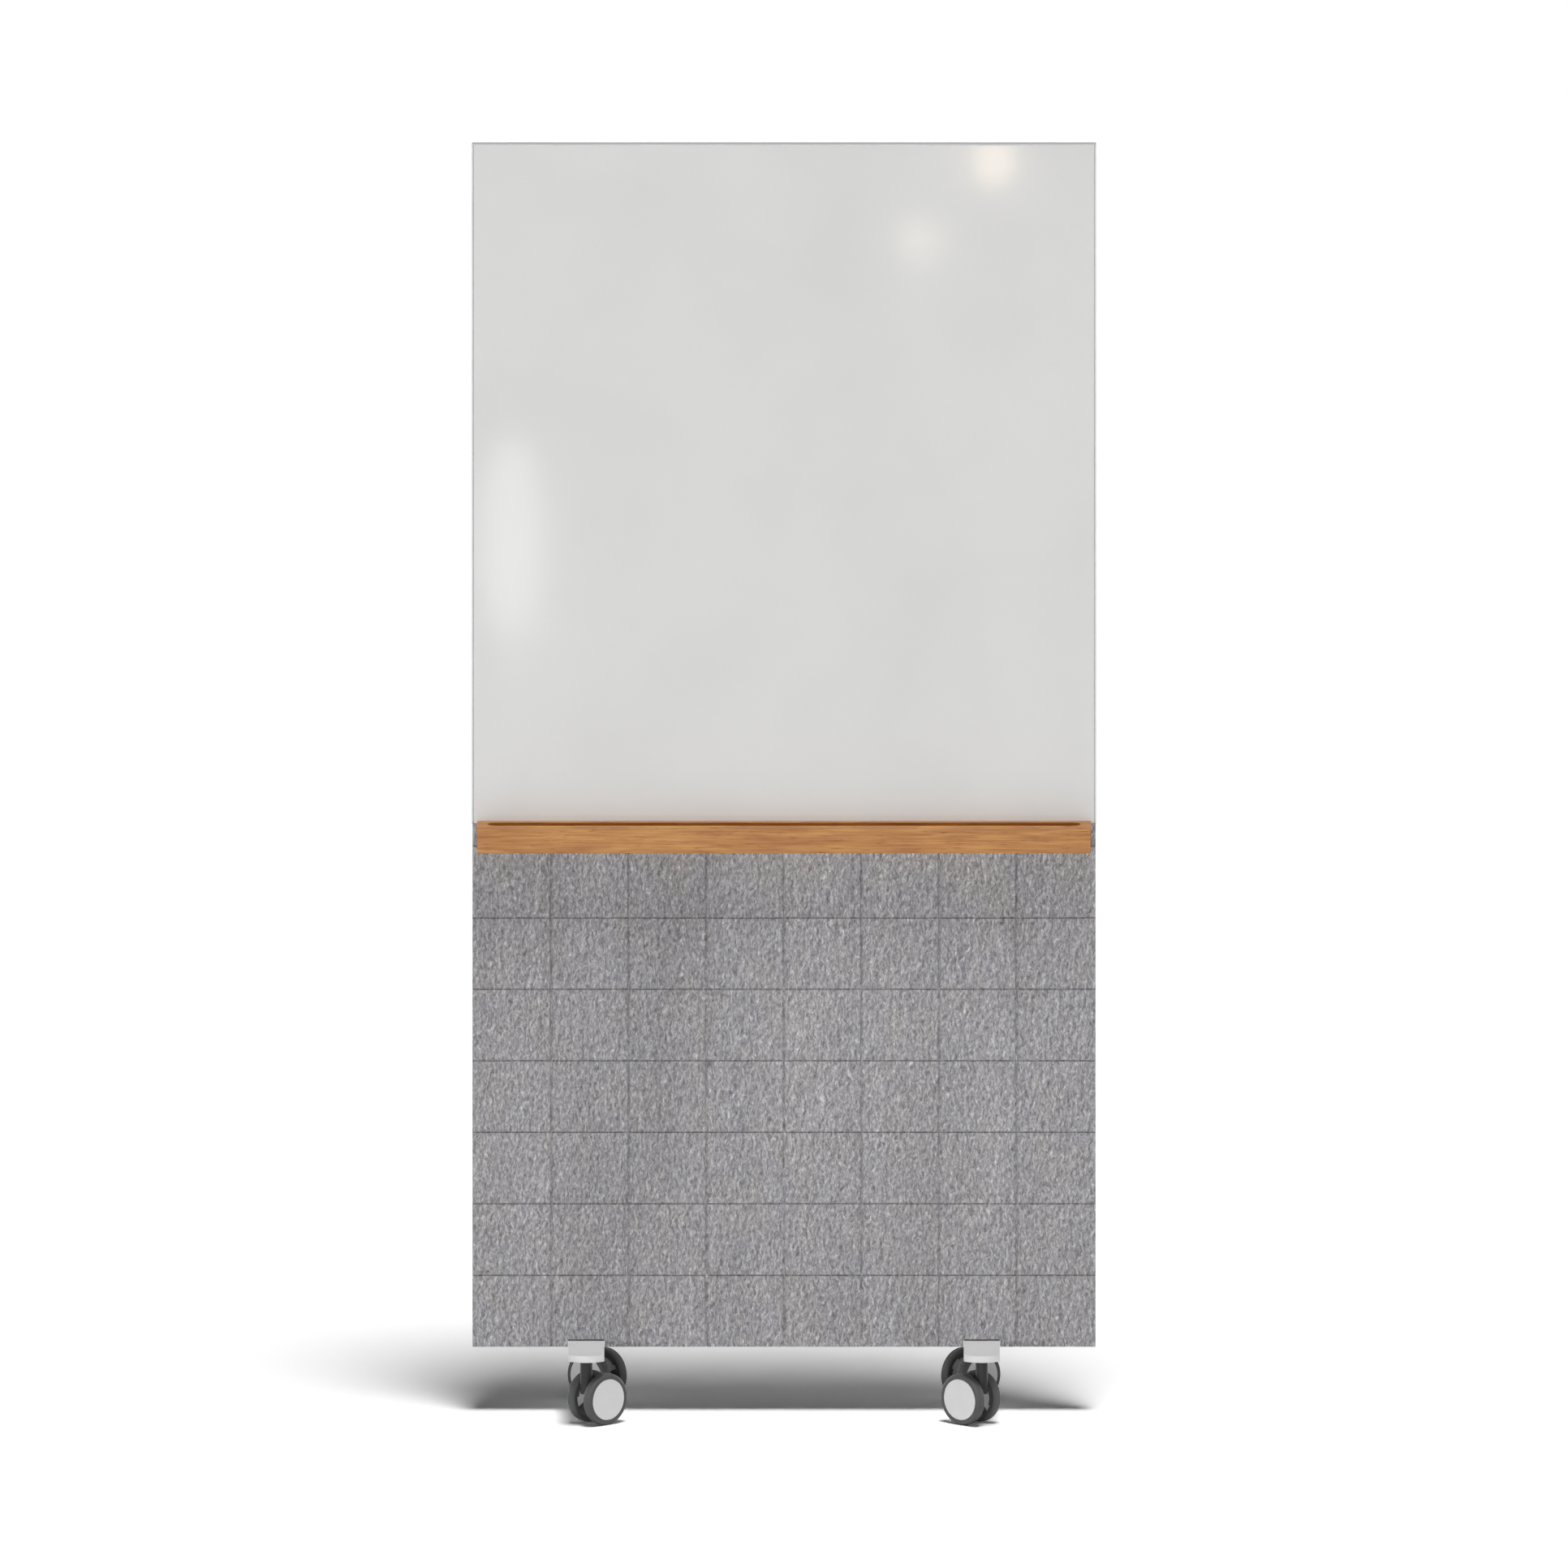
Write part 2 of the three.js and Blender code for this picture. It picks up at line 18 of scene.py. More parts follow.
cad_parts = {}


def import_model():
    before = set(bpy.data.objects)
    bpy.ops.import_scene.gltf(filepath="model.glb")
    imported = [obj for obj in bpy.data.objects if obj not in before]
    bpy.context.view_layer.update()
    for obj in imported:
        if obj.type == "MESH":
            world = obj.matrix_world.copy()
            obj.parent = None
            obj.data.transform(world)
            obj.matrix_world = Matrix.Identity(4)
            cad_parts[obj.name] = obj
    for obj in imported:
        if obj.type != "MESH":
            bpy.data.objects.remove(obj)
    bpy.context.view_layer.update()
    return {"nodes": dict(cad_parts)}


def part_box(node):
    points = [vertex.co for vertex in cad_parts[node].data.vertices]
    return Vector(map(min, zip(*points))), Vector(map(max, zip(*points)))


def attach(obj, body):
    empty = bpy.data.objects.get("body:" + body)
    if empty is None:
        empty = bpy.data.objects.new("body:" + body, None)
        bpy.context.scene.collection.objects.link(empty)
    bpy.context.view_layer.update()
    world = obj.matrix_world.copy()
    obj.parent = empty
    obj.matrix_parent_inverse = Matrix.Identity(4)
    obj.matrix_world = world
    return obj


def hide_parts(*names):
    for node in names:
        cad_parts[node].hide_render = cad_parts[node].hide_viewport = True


LOG = logging.getLogger("whiteboard")
MM = 0.001
WELD_REACH = 0.001 * MM
SEAM_REACH = 0.01 * MM
NOISE_MIDDLE = (0.3, 0.7)
Pair = tuple[float, float]
Triple = tuple[float, float, float]
Stops = Sequence[tuple[float, str]]
Piece = bpy.types.Object
Tree = bpy.types.NodeTree
Socket = bpy.types.NodeSocket


def linear(hex_colour: str) -> tuple[float, float, float, float]:
    """Turns an sRGB hex colour into the linear colour that shaders use.

    Args:
        hex_colour: Six hex digits with a leading #.

    Returns:
        Red, green, blue and an alpha of 1.
    """
    parts = [int(hex_colour[place:place + 2], 16) / 255 for place in (1, 3, 5)]
    red, green, blue = (
        part / 12.92 if part <= 0.04045 else ((part + 0.055) / 1.055) ** 2.4 for part in parts
    )
    return red, green, blue, 1.0


def add_node(tree: Tree, kind: str, inputs: Optional[dict] = None, **settings: Any) -> Any:
    """Adds a node, sets its properties, and sets or links its inputs.

    Args:
        tree: The node tree that gets the node.
        kind: Blender's name of the node type.
        inputs: Values or output sockets, by the input's name or number.
        **settings: Properties of the node.

    Returns:
        The new node.
    """
    node = tree.nodes.new(kind)
    for name, value in settings.items():
        setattr(node, name, value)
    for key, value in (inputs or {}).items():
        if isinstance(value, Socket):
            tree.links.new(value, node.inputs[key])
        else:
            node.inputs[key].default_value = value
    return node


@dataclass(frozen=True)
class Finish:
    """What a surface is made of, and the numbers that its shader starts from."""

    name: str
    colour: str
    roughness: float
    metallic: float = 0.0
    ior: float = 1.5

    def material(self) -> bpy.types.Material:
        """Builds the material, unless it is already there.

        Returns:
            The material.
        """
        made = bpy.data.materials.get(self.name)
        if made:
            return made
        made = bpy.data.materials.new(self.name)
        made.use_nodes = True
        tree = made.node_tree
        tree.nodes.clear()
        shader = add_node(tree, "ShaderNodeBsdfPrincipled")
        shader.inputs["Base Color"].default_value = linear(self.colour)
        shader.inputs["Roughness"].default_value = self.roughness
        shader.inputs["Metallic"].default_value = self.metallic
        if not self.metallic:
            shader.inputs["IOR"].default_value = self.ior
        add_node(tree, "ShaderNodeOutputMaterial", {"Surface": shader.outputs["BSDF"]})
        self.dress(tree, shader)
        made.diffuse_color = linear(self.colour)
        return made

    def dress(self, tree: Tree, shader: Any) -> None:
        """Adds the pattern of this finish; a bare finish has none.

        Args:
            tree: The material's node tree.
            shader: The material's Principled BSDF node.
        """

    def pattern(self, tree: Tree, pitch: Triple, detail: float = 3.0, roughness: float = 0.5,
                seed: float = 0.0, place: Optional[Socket] = None, output: str = "Fac") -> Socket:
        """A noise whose features have a real size along each axis.

        Args:
            tree: The material's node tree.
            pitch: Feature size in metres along x, y and z.
            detail: How many finer layers lie on the noise.
            roughness: How strong the finer layers are.
            seed: Moves the pattern, so that two patterns differ.
            place: Where the noise is read; by default the place on the object.
            output: The noise's output, a value or a colour.

        Returns:
            The noise's socket.
        """
        place = place or add_node(tree, "ShaderNodeTexCoord").outputs["Object"]
        scale = [1 / size for size in pitch]
        mapped = add_node(tree, "ShaderNodeMapping",
                          {"Vector": place, "Location": (seed, seed, seed), "Scale": scale})
        noise = add_node(tree, "ShaderNodeTexNoise", {
            "Vector": mapped.outputs["Vector"], "Scale": 1.0, "Detail": detail,
            "Roughness": roughness})
        return noise.outputs[output]

    def curled(self, tree: Tree, pitch: Triple, reach: Triple, seed: float = 0.0) -> Socket:
        """The place on the object, pushed about by a noise, so that a pattern read there curls.

        Args:
            tree: The material's node tree.
            pitch: Size of the curls in metres along x, y and z.
            reach: How far a point is pushed along each axis, in metres.
            seed: Moves the curls.

        Returns:
            The moved place's socket.
        """
        place = add_node(tree, "ShaderNodeTexCoord").outputs["Object"]
        push = self.pattern(tree, pitch, detail=2, seed=seed, output="Color")
        centred = add_node(tree, "ShaderNodeVectorMath", {0: push, 1: (0.5, 0.5, 0.5)},
                           operation="SUBTRACT")
        moved = add_node(tree, "ShaderNodeVectorMath", {
            0: centred.outputs["Vector"], 1: tuple(2 * size for size in reach), 2: place},
            operation="MULTIPLY_ADD")
        return moved.outputs["Vector"]

    def ramp(self, tree: Tree, value: Socket, stops: Stops) -> Socket:
        """Maps a value to colours.

        Args:
            tree: The material's node tree.
            value: The socket that is mapped.
            stops: Places from 0 to 1, each with an sRGB hex colour.

        Returns:
            The colour socket.
        """
        node = add_node(tree, "ShaderNodeValToRGB", {"Fac": value})
        elements = node.color_ramp.elements
        while len(elements) < len(stops):
            elements.new(0.5)
        for element, (place, colour) in zip(elements, stops):
            element.position = place
            element.color = linear(colour)
        return node.outputs["Color"]

    def spread(self, tree: Tree, value: Socket, low: float, high: float) -> Socket:
        """Maps the middle range of a noise to a range of numbers."""
        node = add_node(tree, "ShaderNodeMapRange", {
            "Value": value, "From Min": NOISE_MIDDLE[0], "From Max": NOISE_MIDDLE[1], "To Min": low,
            "To Max": high})
        return node.outputs["Result"]

    def tinted(self, tree: Tree, tone: Any, tint: Socket, share: float = 1.0) -> Socket:
        """Multiplies a colour by a share of a second one."""
        node = add_node(tree, "ShaderNodeMix", {0: share, 6: tone, 7: tint},
                        data_type="RGBA", blend_type="MULTIPLY")
        return node.outputs[2]

    def scaled(self, tree: Tree, tone: Any, level: Socket) -> Socket:
        """Multiplies a colour by a number."""
        grey = add_node(tree, "ShaderNodeCombineColor",
                        {"Red": level, "Green": level, "Blue": level})
        return self.tinted(tree, tone, grey.outputs["Color"])

    def paint(self, tree: Tree, shader: Any, tone: Socket, noise: Socket, low: float,
              high: float) -> None:
        """Gives the shader its tone, and a roughness that a noise moves between two values."""
        tree.links.new(tone, shader.inputs["Base Color"])
        tree.links.new(self.spread(tree, noise, low, high), shader.inputs["Roughness"])

    def emboss(self, tree: Tree, shader: Any, height: Socket, depth: float,
               strength: float = 1.0) -> None:
        """Gives the shader a bump of a real depth in metres."""
        bump = add_node(tree, "ShaderNodeBump",
                        {"Height": height, "Distance": depth, "Strength": strength})
        tree.links.new(bump.outputs["Normal"], shader.inputs["Normal"])


@dataclass(frozen=True)
class PolishedLaminate(Finish):
    """High-gloss laminate pressed on a sheet: a hard mirror with a faint orange peel."""

    peel_pitch: float = 7 * MM
    peel_depth: float = 0.012 * MM
    cloud_pitch: float = 260 * MM
    cloud_shade: str = "#D0D0CF"
    gloss_swing: float = 0.15

    def dress(self, tree: Tree, shader: Any) -> None:
        """Orange peel that breaks up the lamps' reflections, and slight clouds in the gloss.

        Args:
            tree: The material's node tree.
            shader: The material's Principled BSDF node.
        """
        cloud = self.pattern(tree, (self.cloud_pitch,) * 3, detail=2)
        tone = self.ramp(tree, cloud, list(zip(NOISE_MIDDLE, (self.cloud_shade, self.colour))))
        swing = self.roughness * self.gloss_swing
        self.paint(tree, shader, tone, cloud, self.roughness - swing, self.roughness + swing)
        peel = self.pattern(tree, (self.peel_pitch,) * 3, detail=3, roughness=0.6, seed=3)
        self.emboss(tree, shader, peel, self.peel_depth)


@dataclass(frozen=True)
class PressedFelt(Finish):
    """Needled and pressed polyester felt: mottled grey fibres that run mostly upright.

    Real fibres are about 0.03 mm thick. They are drawn as strands of about 2 mm, the size at
    which the mottling shows from a few steps away.
    """

    strand: Triple = (5 * MM, 5 * MM, 19 * MM)
    tuft: Triple = (3 * MM, 3 * MM, 7.5 * MM)
    streak: Triple = (7 * MM, 7 * MM, 30 * MM)
    wrinkle: Triple = (6 * MM, 6 * MM, 13 * MM)
    # The step towards the light, across which the wrinkles' painted light and shade is read.
    lean: Triple = (1.7 * MM, 0.0, -1.1 * MM)
    patch: Triple = (46 * MM, 46 * MM, 70 * MM)
    band: Triple = (100 * MM, 100 * MM, 1200 * MM)
    curl: Triple = (12 * MM, 12 * MM, 16 * MM)
    curl_reach: Triple = (6 * MM, 6 * MM, 5 * MM)
    fibre: Triple = (0.7 * MM, 0.7 * MM, 5 * MM)
    strand_width: float = 0.06
    strand_layers: tuple[Pair, ...] = ((2.0, 0.2), (17.0, 0.15))
    tuft_levels: Pair = (0.09, 0.74)
    streak_levels: Pair = (0.94, 1.05)
    band_levels: Pair = (0.88, 1.08)
    hair_levels: Pair = (0.86, 1.12)
    relief_fall: float = 0.2
    relief_swing: float = 0.36
    tones: Stops = ((0.0, "#6C6B6E"), (0.36, "#939295"), (0.62, "#A7A6A8"), (1.0, "#C9C8CA"))
    tints: Stops = ((0.35, "#FDFDFF"), (0.65, "#FFFEFB"))
    # Painted shade in the grooves: the colour darkens as far as each point is pressed in.
    pressed: str = "pressed"
    painted_groove_shade: str = "#EDEDED"
    sheen: float = 0.08
    specular: float = 0.15
    nap_depth: float = 1.6 * MM
    nap_strength: float = 0.7

    def strands(self, tree: Tree, seed: float) -> Socket:
        """Thin curling lines: 1 on a strand's middle, 0 off it.

        Args:
            tree: The material's node tree.
            seed: Moves the strands and their curls.

        Returns:
            The lines' socket.
        """
        place = self.curled(tree, self.curl, self.curl_reach, seed)
        noise = self.pattern(tree, self.strand, detail=1, seed=seed, place=place)
        offset = add_node(tree, "ShaderNodeMath", {0: noise, 1: 0.5}, operation="SUBTRACT")
        away = add_node(tree, "ShaderNodeMath", {0: offset.outputs[0]}, operation="ABSOLUTE")
        line = add_node(tree, "ShaderNodeMapRange", {
            "Value": away.outputs[0], "From Min": 0.0, "From Max": self.strand_width,
            "To Min": 1.0, "To Max": 0.0}, interpolation_type="SMOOTHSTEP")
        return line.outputs["Result"]

    def painted_relief(self, tree: Tree, place: Socket) -> Socket:
        """Painted light and shade of the matted wrinkles: over 1 on each one's side towards the
        light.

        Args:
            tree: The material's node tree.
            place: Where the wrinkles are read.

        Returns:
            The tone's socket.
        """
        beside = add_node(tree, "ShaderNodeVectorMath", {0: place, 1: self.lean}, operation="ADD")
        near = self.pattern(tree, self.wrinkle, detail=2, seed=61, place=place)
        far = self.pattern(tree, self.wrinkle, detail=2, seed=61, place=beside.outputs["Vector"])
        fall = add_node(tree, "ShaderNodeMath", {0: near, 1: far}, operation="SUBTRACT")
        tone = add_node(tree, "ShaderNodeMapRange", {
            "Value": fall.outputs[0], "From Min": -self.relief_fall, "From Max": self.relief_fall,
            "To Min": 1 - self.relief_swing, "To Max": 1 + self.relief_swing})
        return tone.outputs["Result"]

    def dress(self, tree: Tree, shader: Any) -> None:
        """Strands over tufts, in colour and in height, long streaks and upright bands; painted
        light and shade on the wrinkles and in the grooves.

        Args:
            tree: The material's node tree.
            shader: The material's Principled BSDF node.
        """
        place = self.curled(tree, self.curl, self.curl_reach, seed=31)
        tuft = self.pattern(tree, self.tuft, detail=3, roughness=0.6, place=place)
        height = self.spread(tree, tuft, *self.tuft_levels)
        for seed, share in self.strand_layers:
            height = add_node(tree, "ShaderNodeMath",
                              {0: self.strands(tree, seed), 1: share, 2: height},
                              operation="MULTIPLY_ADD").outputs[0]
        streak = self.pattern(tree, self.streak, detail=2, seed=11)
        band = self.pattern(tree, self.band, detail=2, roughness=0.4, seed=23)
        hair = self.pattern(tree, self.fibre, detail=1, seed=53, place=place)
        level = self.spread(tree, streak, *self.streak_levels)
        # The wrinkles' painted light and shade multiplies the tone.
        for factor in (self.spread(tree, band, *self.band_levels), self.painted_relief(tree, place),
                       self.spread(tree, hair, *self.hair_levels)):
            level = add_node(tree, "ShaderNodeMath", {0: level, 1: factor},
                             operation="MULTIPLY").outputs[0]
        tone = self.scaled(tree, self.ramp(tree, height, self.tones), level)
        warmth = self.pattern(tree, self.patch, detail=1, seed=41)
        tone = self.tinted(tree, tone, self.ramp(tree, warmth, self.tints))
        # Painted shade: the felt is darkened in its grooves, as far as each point is pressed in.
        pressed = add_node(tree, "ShaderNodeAttribute", attribute_name=self.pressed).outputs["Fac"]
        painted_groove_darkening = self.ramp(tree, pressed, [(0.0, "#FFFFFF"), (1.0, self.painted_groove_shade)])
        tree.links.new(self.tinted(tree, tone, painted_groove_darkening), shader.inputs["Base Color"])
        shader.inputs["Sheen Weight"].default_value = self.sheen
        shader.inputs["Specular IOR Level"].default_value = self.specular
        self.emboss(tree, shader, height, self.nap_depth, self.nap_strength)


@dataclass(frozen=True)
class OiledOak(Finish):
    """Solid oak with an oil finish, sawn along the grain: gold brown with darker grain lines.

    Real pores are about 0.3 mm wide. They are drawn about 1 mm wide, so that they show at all in a
    picture of the whole object.
    """

    ring_pitch: float = 9 * MM
    ring_stretch: float = 0.25
    ring_scale: float = 0.16
    ring_distortion: float = 0.7
    pith: Pair = (-60 * MM, 770 * MM)
    warp: Triple = (170 * MM, 30 * MM, 30 * MM)
    warp_reach: float = 35 * MM
    fibre: Triple = (62 * MM, 1.8 * MM, 1.8 * MM)
    pore: Triple = (22 * MM, 1.1 * MM, 1.1 * MM)
    cloud: Triple = (120 * MM, 26 * MM, 26 * MM)
    pore_depth: float = 0.12 * MM
    pore_strength: float = 0.6
    ring_tones: Stops = ((0.0, "#B0793B"), (0.45, "#B77F3D"), (0.85, "#BB8642"))
    fibre_shades: Stops = ((0.26, "#C6B49A"), (0.46, "#EEE5D7"), (0.66, "#FFFFFF"))
    cloud_shades: Stops = ((0.35, "#E9DCCB"), (0.6, "#FFFFFF"))
    cloud_share: float = 0.8
    pore_shades: Stops = ((0.27, "#8A6038"), (0.36, "#FFFFFF"))
    pore_share: float = 0.75
    dull_rise: float = 0.08
    gloss_fall: float = 0.05

    def dress(self, tree: Tree, shader: Any) -> None:
        """Growth rings round a pith below the ledge, fibres, pores and a slow colour change.

        Args:
            tree: The material's node tree.
            shader: The material's Principled BSDF node.
        """
        place = add_node(tree, "ShaderNodeTexCoord").outputs["Object"]
        warp = self.pattern(tree, self.warp, detail=2, seed=5)
        bent = add_node(tree, "ShaderNodeMapRange",
                        {"Value": warp, "To Min": -self.warp_reach, "To Max": self.warp_reach})
        shift = add_node(tree, "ShaderNodeCombineXYZ",
                         {"Y": bent.outputs["Result"], "Z": bent.outputs["Result"]})
        moved = add_node(tree, "ShaderNodeVectorMath", {0: place, 1: shift.outputs["Vector"]},
                         operation="ADD")
        rings = add_node(tree, "ShaderNodeMapping", {
            "Vector": moved.outputs["Vector"],
            "Location": (0.0, -self.pith[0] / self.ring_pitch, -self.pith[1] / self.ring_pitch),
            "Scale": (self.ring_stretch, 1 / self.ring_pitch, 1 / self.ring_pitch)})
        wave = add_node(tree, "ShaderNodeTexWave", {
            "Vector": rings.outputs["Vector"], "Scale": self.ring_scale,
            "Distortion": self.ring_distortion, "Detail": 2.0, "Detail Scale": 1.5},
            wave_type="RINGS", rings_direction="X")
        fibre = self.pattern(tree, self.fibre, detail=4, roughness=0.6, seed=7)
        cloud = self.pattern(tree, self.cloud, detail=2, seed=13)
        pore = self.pattern(tree, self.pore, detail=1, seed=19)
        tone = self.ramp(tree, wave.outputs["Fac"], self.ring_tones)
        for noise, shades, share in ((fibre, self.fibre_shades, 1.0),
                                     (cloud, self.cloud_shades, self.cloud_share),
                                     (pore, self.pore_shades, self.pore_share)):
            tone = self.tinted(tree, tone, self.ramp(tree, noise, shades), share)
        self.paint(tree, shader, tone, fibre, self.roughness + self.dull_rise,
                   self.roughness - self.gloss_fall)
        self.emboss(tree, shader, pore, self.pore_depth, self.pore_strength)


@dataclass(frozen=True)
class GrainedSurface(Finish):
    """A moulded, cast or coated surface with a fine grain and slightly uneven gloss.

    Real mould grain is about 0.3 mm. It is drawn at about 1 mm, so that it shows in a near view.
    """

    grain: float = 1.4 * MM
    depth: float = 0.02 * MM
    mottle: float = 0.03
    mark_size: float = 16
    gloss_swing: float = 0.05

    def dress(self, tree: Tree, shader: Any) -> None:
        """A fine grain in the surface, and handling marks in tone and gloss.

        Args:
            tree: The material's node tree.
            shader: The material's Principled BSDF node.
        """
        grain = self.pattern(tree, (self.grain,) * 3, detail=3, roughness=0.6)
        marks = self.pattern(tree, (self.grain * self.mark_size,) * 3, detail=3, seed=9)
        level = self.spread(tree, marks, 1 - self.mottle, 1 + self.mottle)
        self.paint(tree, shader, self.scaled(tree, linear(self.colour), level), marks,
                   self.roughness - self.gloss_swing, self.roughness + self.gloss_swing)
        self.emboss(tree, shader, grain, self.depth)


@dataclass(frozen=True)
class DrawnMetal(Finish):
    """Metal drawn or brushed along one axis: fine parallel lines in its gloss.

    Real lines are about 0.05 mm wide. They are drawn 0.8 mm wide, so that they show in a near view.
    """

    line: Triple = (0.8 * MM, 0.8 * MM, 60 * MM)
    depth: float = 0.01 * MM
    line_levels: Pair = (0.94, 1.05)
    gloss_swing: float = 0.06

    def dress(self, tree: Tree, shader: Any) -> None:
        """Brush lines that change tone, gloss and surface together.

        Args:
            tree: The material's node tree.
            shader: The material's Principled BSDF node.
        """
        lines = self.pattern(tree, self.line, detail=2, roughness=0.6)
        level = self.spread(tree, lines, *self.line_levels)
        self.paint(tree, shader, self.scaled(tree, linear(self.colour), level), lines,
                   self.roughness - self.gloss_swing, self.roughness + self.gloss_swing)
        self.emboss(tree, shader, lines, self.depth)


@dataclass(frozen=True)
class Palette:
    """The finishes of the whiteboard, each named for what it is, how it was made and any painted
    light.
    """

    # A hard gloss: the room's lamps show in it as soft-edged spots on an even pale grey.
    board: Finish = PolishedLaminate("polished_laminate", "#D5D5D4", 0.07)
    # A thin dull silver line that parts the board's edge from the background.
    trim: Finish = DrawnMetal("anodised_aluminium_trim", "#9A9B9C", 0.38, 1.0)
    # The same metal with its lines lying along the strip, so that it stays a calm grey from above.
    top_trim: Finish = DrawnMetal("anodised_aluminium_top_trim", "#9C9D9E", 0.42, 1.0,
                                  line=(60 * MM, 0.8 * MM, 0.8 * MM), depth=0.004 * MM)
    # Matt, soft and speckled: it takes no highlight, and painted shade makes its grooves fine dark
    # lines.
    felt: Finish = PressedFelt("pressed_polyester_felt", "#97979A", 1.0)
    # Warm gold brown, the only colour on the object, with grain lines along the ledge.
    oak: Finish = OiledOak("oiled_oak", "#AD7D4D", 0.46)
    # Painted shade darkens it in the slits over the feet; a quiet dark line between the two pale
    # skins.
    frame: Finish = DrawnMetal("painted_shade_dark_aluminium", "#37383A", 0.42, 0.6)
    # Dull paper brown, hidden inside the panel.
    core: Finish = GrainedSurface("kraft_honeycomb", "#C9B48C", 0.9, grain=3 * MM, depth=0.1 * MM)
    # Clean light grey with a low sheen, so that the plates' rounded tips catch a soft highlight.
    foot: Finish = GrainedSurface("white_powder_coat", "#D6D6D6", 0.36, grain=1.1 * MM)
    # Small bright metal heads against the duller plate.
    bolt: Finish = DrawnMetal("zinc_plated_steel", "#A6A7A8", 0.3, 1.0)
    # Near black, with a faint metal gleam beside the duller nylon.
    stem: Finish = DrawnMetal("blackened_steel", "#2A2A2B", 0.42, 0.8)
    # A deep matt grey that keeps the castors' columns quiet.
    nylon: Finish = GrainedSurface("moulded_dark_nylon", "#242424", 0.6, ior=1.4, mottle=0.05)
    # The column's nylon painted lighter, as painted light that keeps the notched ring readable in
    # shade.
    rim: Finish = GrainedSurface("dark_nylon_painted_lighter", "#585858", 0.6, ior=1.4, mottle=0.05)
    # A shade lighter and drier than the column, so that the tread parts from the body.
    tyre: Finish = GrainedSurface("grey_polyurethane", "#444444", 0.62, depth=0.03 * MM,
                                  mottle=0.07)
    # Pale plastic painted near white as painted light in its shade; a bright ring behind the dark
    # tread.
    hub: Finish = GrainedSurface("light_grey_abs_painted_lighter", "#F0F0F0", 0.5)
    # A smooth pale disc with a satin sheen, the brightest spot of each castor.
    cover: Finish = GrainedSurface("satin_light_grey_abs", "#D7D7D7", 0.42, depth=0.008 * MM,
                                   mottle=0.012)


def clear_selection() -> None:
    """Leaves edit mode and deselects everything."""
    if bpy.context.object and bpy.context.object.mode != "OBJECT":
        bpy.ops.object.mode_set(mode="OBJECT")
    bpy.ops.object.select_all(action="DESELECT")


def make_active(obj: Piece) -> None:
    """Selects one object alone and makes it the active one.

    Args:
        obj: The object.
    """
    clear_selection()
    obj.select_set(True)
    bpy.context.view_layer.objects.active = obj


@contextmanager
def editing(obj: Piece) -> Iterator[None]:
    """Keeps an object in edit mode with all of its mesh selected at the start.

    Args:
        obj: The object, which is back in object mode afterwards.

    Yields:
        Nothing; what is indented under it runs in edit mode.
    """
    make_active(obj)
    bpy.ops.object.mode_set(mode="EDIT")
    bpy.ops.mesh.select_mode(type="VERT")
    bpy.ops.mesh.select_all(action="SELECT")
    yield
    bpy.ops.object.mode_set(mode="OBJECT")


class Pick(Enum):
    """What kind of element a selection is made of."""

    VERTICES = "VERT"
    EDGES = "EDGE"


def pick(obj: Piece, kind: Pick, test: Callable[[Any], bool]) -> None:
    """Selects the elements of a mesh in edit mode that pass a test.

    Args:
        obj: The object in edit mode.
        kind: Vertices or edges.
        test: Is given a bmesh element and says whether it is selected.
    """
    bpy.ops.mesh.select_mode(type=kind.value)
    bpy.ops.mesh.select_all(action="DESELECT")
    mesh = bmesh.from_edit_mesh(obj.data)
    for element in mesh.verts if kind is Pick.VERTICES else mesh.edges:
        if test(element):
            element.select_set(True)
    mesh.select_flush_mode()
    bmesh.update_edit_mesh(obj.data)


def apply_modifier(obj: Piece, kind: str, **settings: Any) -> None:
    """Adds a modifier to an object and applies it at once.

    Args:
        obj: The object.
        kind: Blender's name of the modifier type.
        **settings: Properties of the modifier.
    """
    make_active(obj)
    modifier = obj.modifiers.new(kind.lower(), kind)
    for name, value in settings.items():
        setattr(modifier, name, value)
    bpy.ops.object.modifier_apply(modifier=modifier.name)


def soften(obj: Piece, radius: float, segments: int = 3, sharper_than: float = 35) -> None:
    """Rounds every edge of an object that is sharper than an angle in degrees."""
    apply_modifier(obj, "BEVEL", width=radius, segments=segments, limit_method="ANGLE",
                   angle_limit=math.radians(sharper_than), miter_outer="MITER_ARC")


def block(low: Vector, high: Vector) -> Piece:
    """Adds a block between two corners, with its place in its mesh.

    Args:
        low: The corner with the lowest numbers.
        high: The corner opposite.

    Returns:
        The block.
    """
    clear_selection()
    bpy.ops.mesh.primitive_cube_add(size=1, location=(low + high) / 2, scale=high - low)
    bpy.ops.object.transform_apply(location=True, rotation=True, scale=True)
    return bpy.context.object


def rod(radius: float, bottom: Vector, height: float, sides: int = 64) -> Piece:
    """Adds an upright round rod that stands on a point.

    Args:
        radius: The rod's radius.
        bottom: The middle of its lower end.
        height: Its length.
        sides: How many flat sides it has.

    Returns:
        The rod, with its place in its mesh.
    """
    clear_selection()
    bpy.ops.mesh.primitive_cylinder_add(vertices=sides, radius=radius, depth=height,
                                        location=bottom + Vector((0, 0, height / 2)))
    bpy.ops.object.transform_apply(location=True, rotation=True, scale=True)
    return bpy.context.object


def lay_along_y(obj: Piece) -> Piece:
    """Turns a mesh so that what pointed up points along +Y."""
    obj.data.transform(Matrix.Rotation(-math.pi / 2, 4, "X"))
    return obj


def combine(obj: Piece, tool: Piece, how: str) -> None:
    """Joins a tool to an object or cuts it out, and deletes the tool."""
    apply_modifier(obj, "BOOLEAN", object=tool, operation=how, solver="EXACT")
    bpy.data.objects.remove(tool)


def arc(centre: Pair, radius: float, start: float, end: float, steps: int) -> list[Pair]:
    """Points of an arc in a section, from a start to an end angle in degrees."""
    angles = [math.radians(start + (end - start) * step / steps) for step in range(steps + 1)]
    return [(centre[0] + radius * math.cos(a), centre[1] + radius * math.sin(a)) for a in angles]


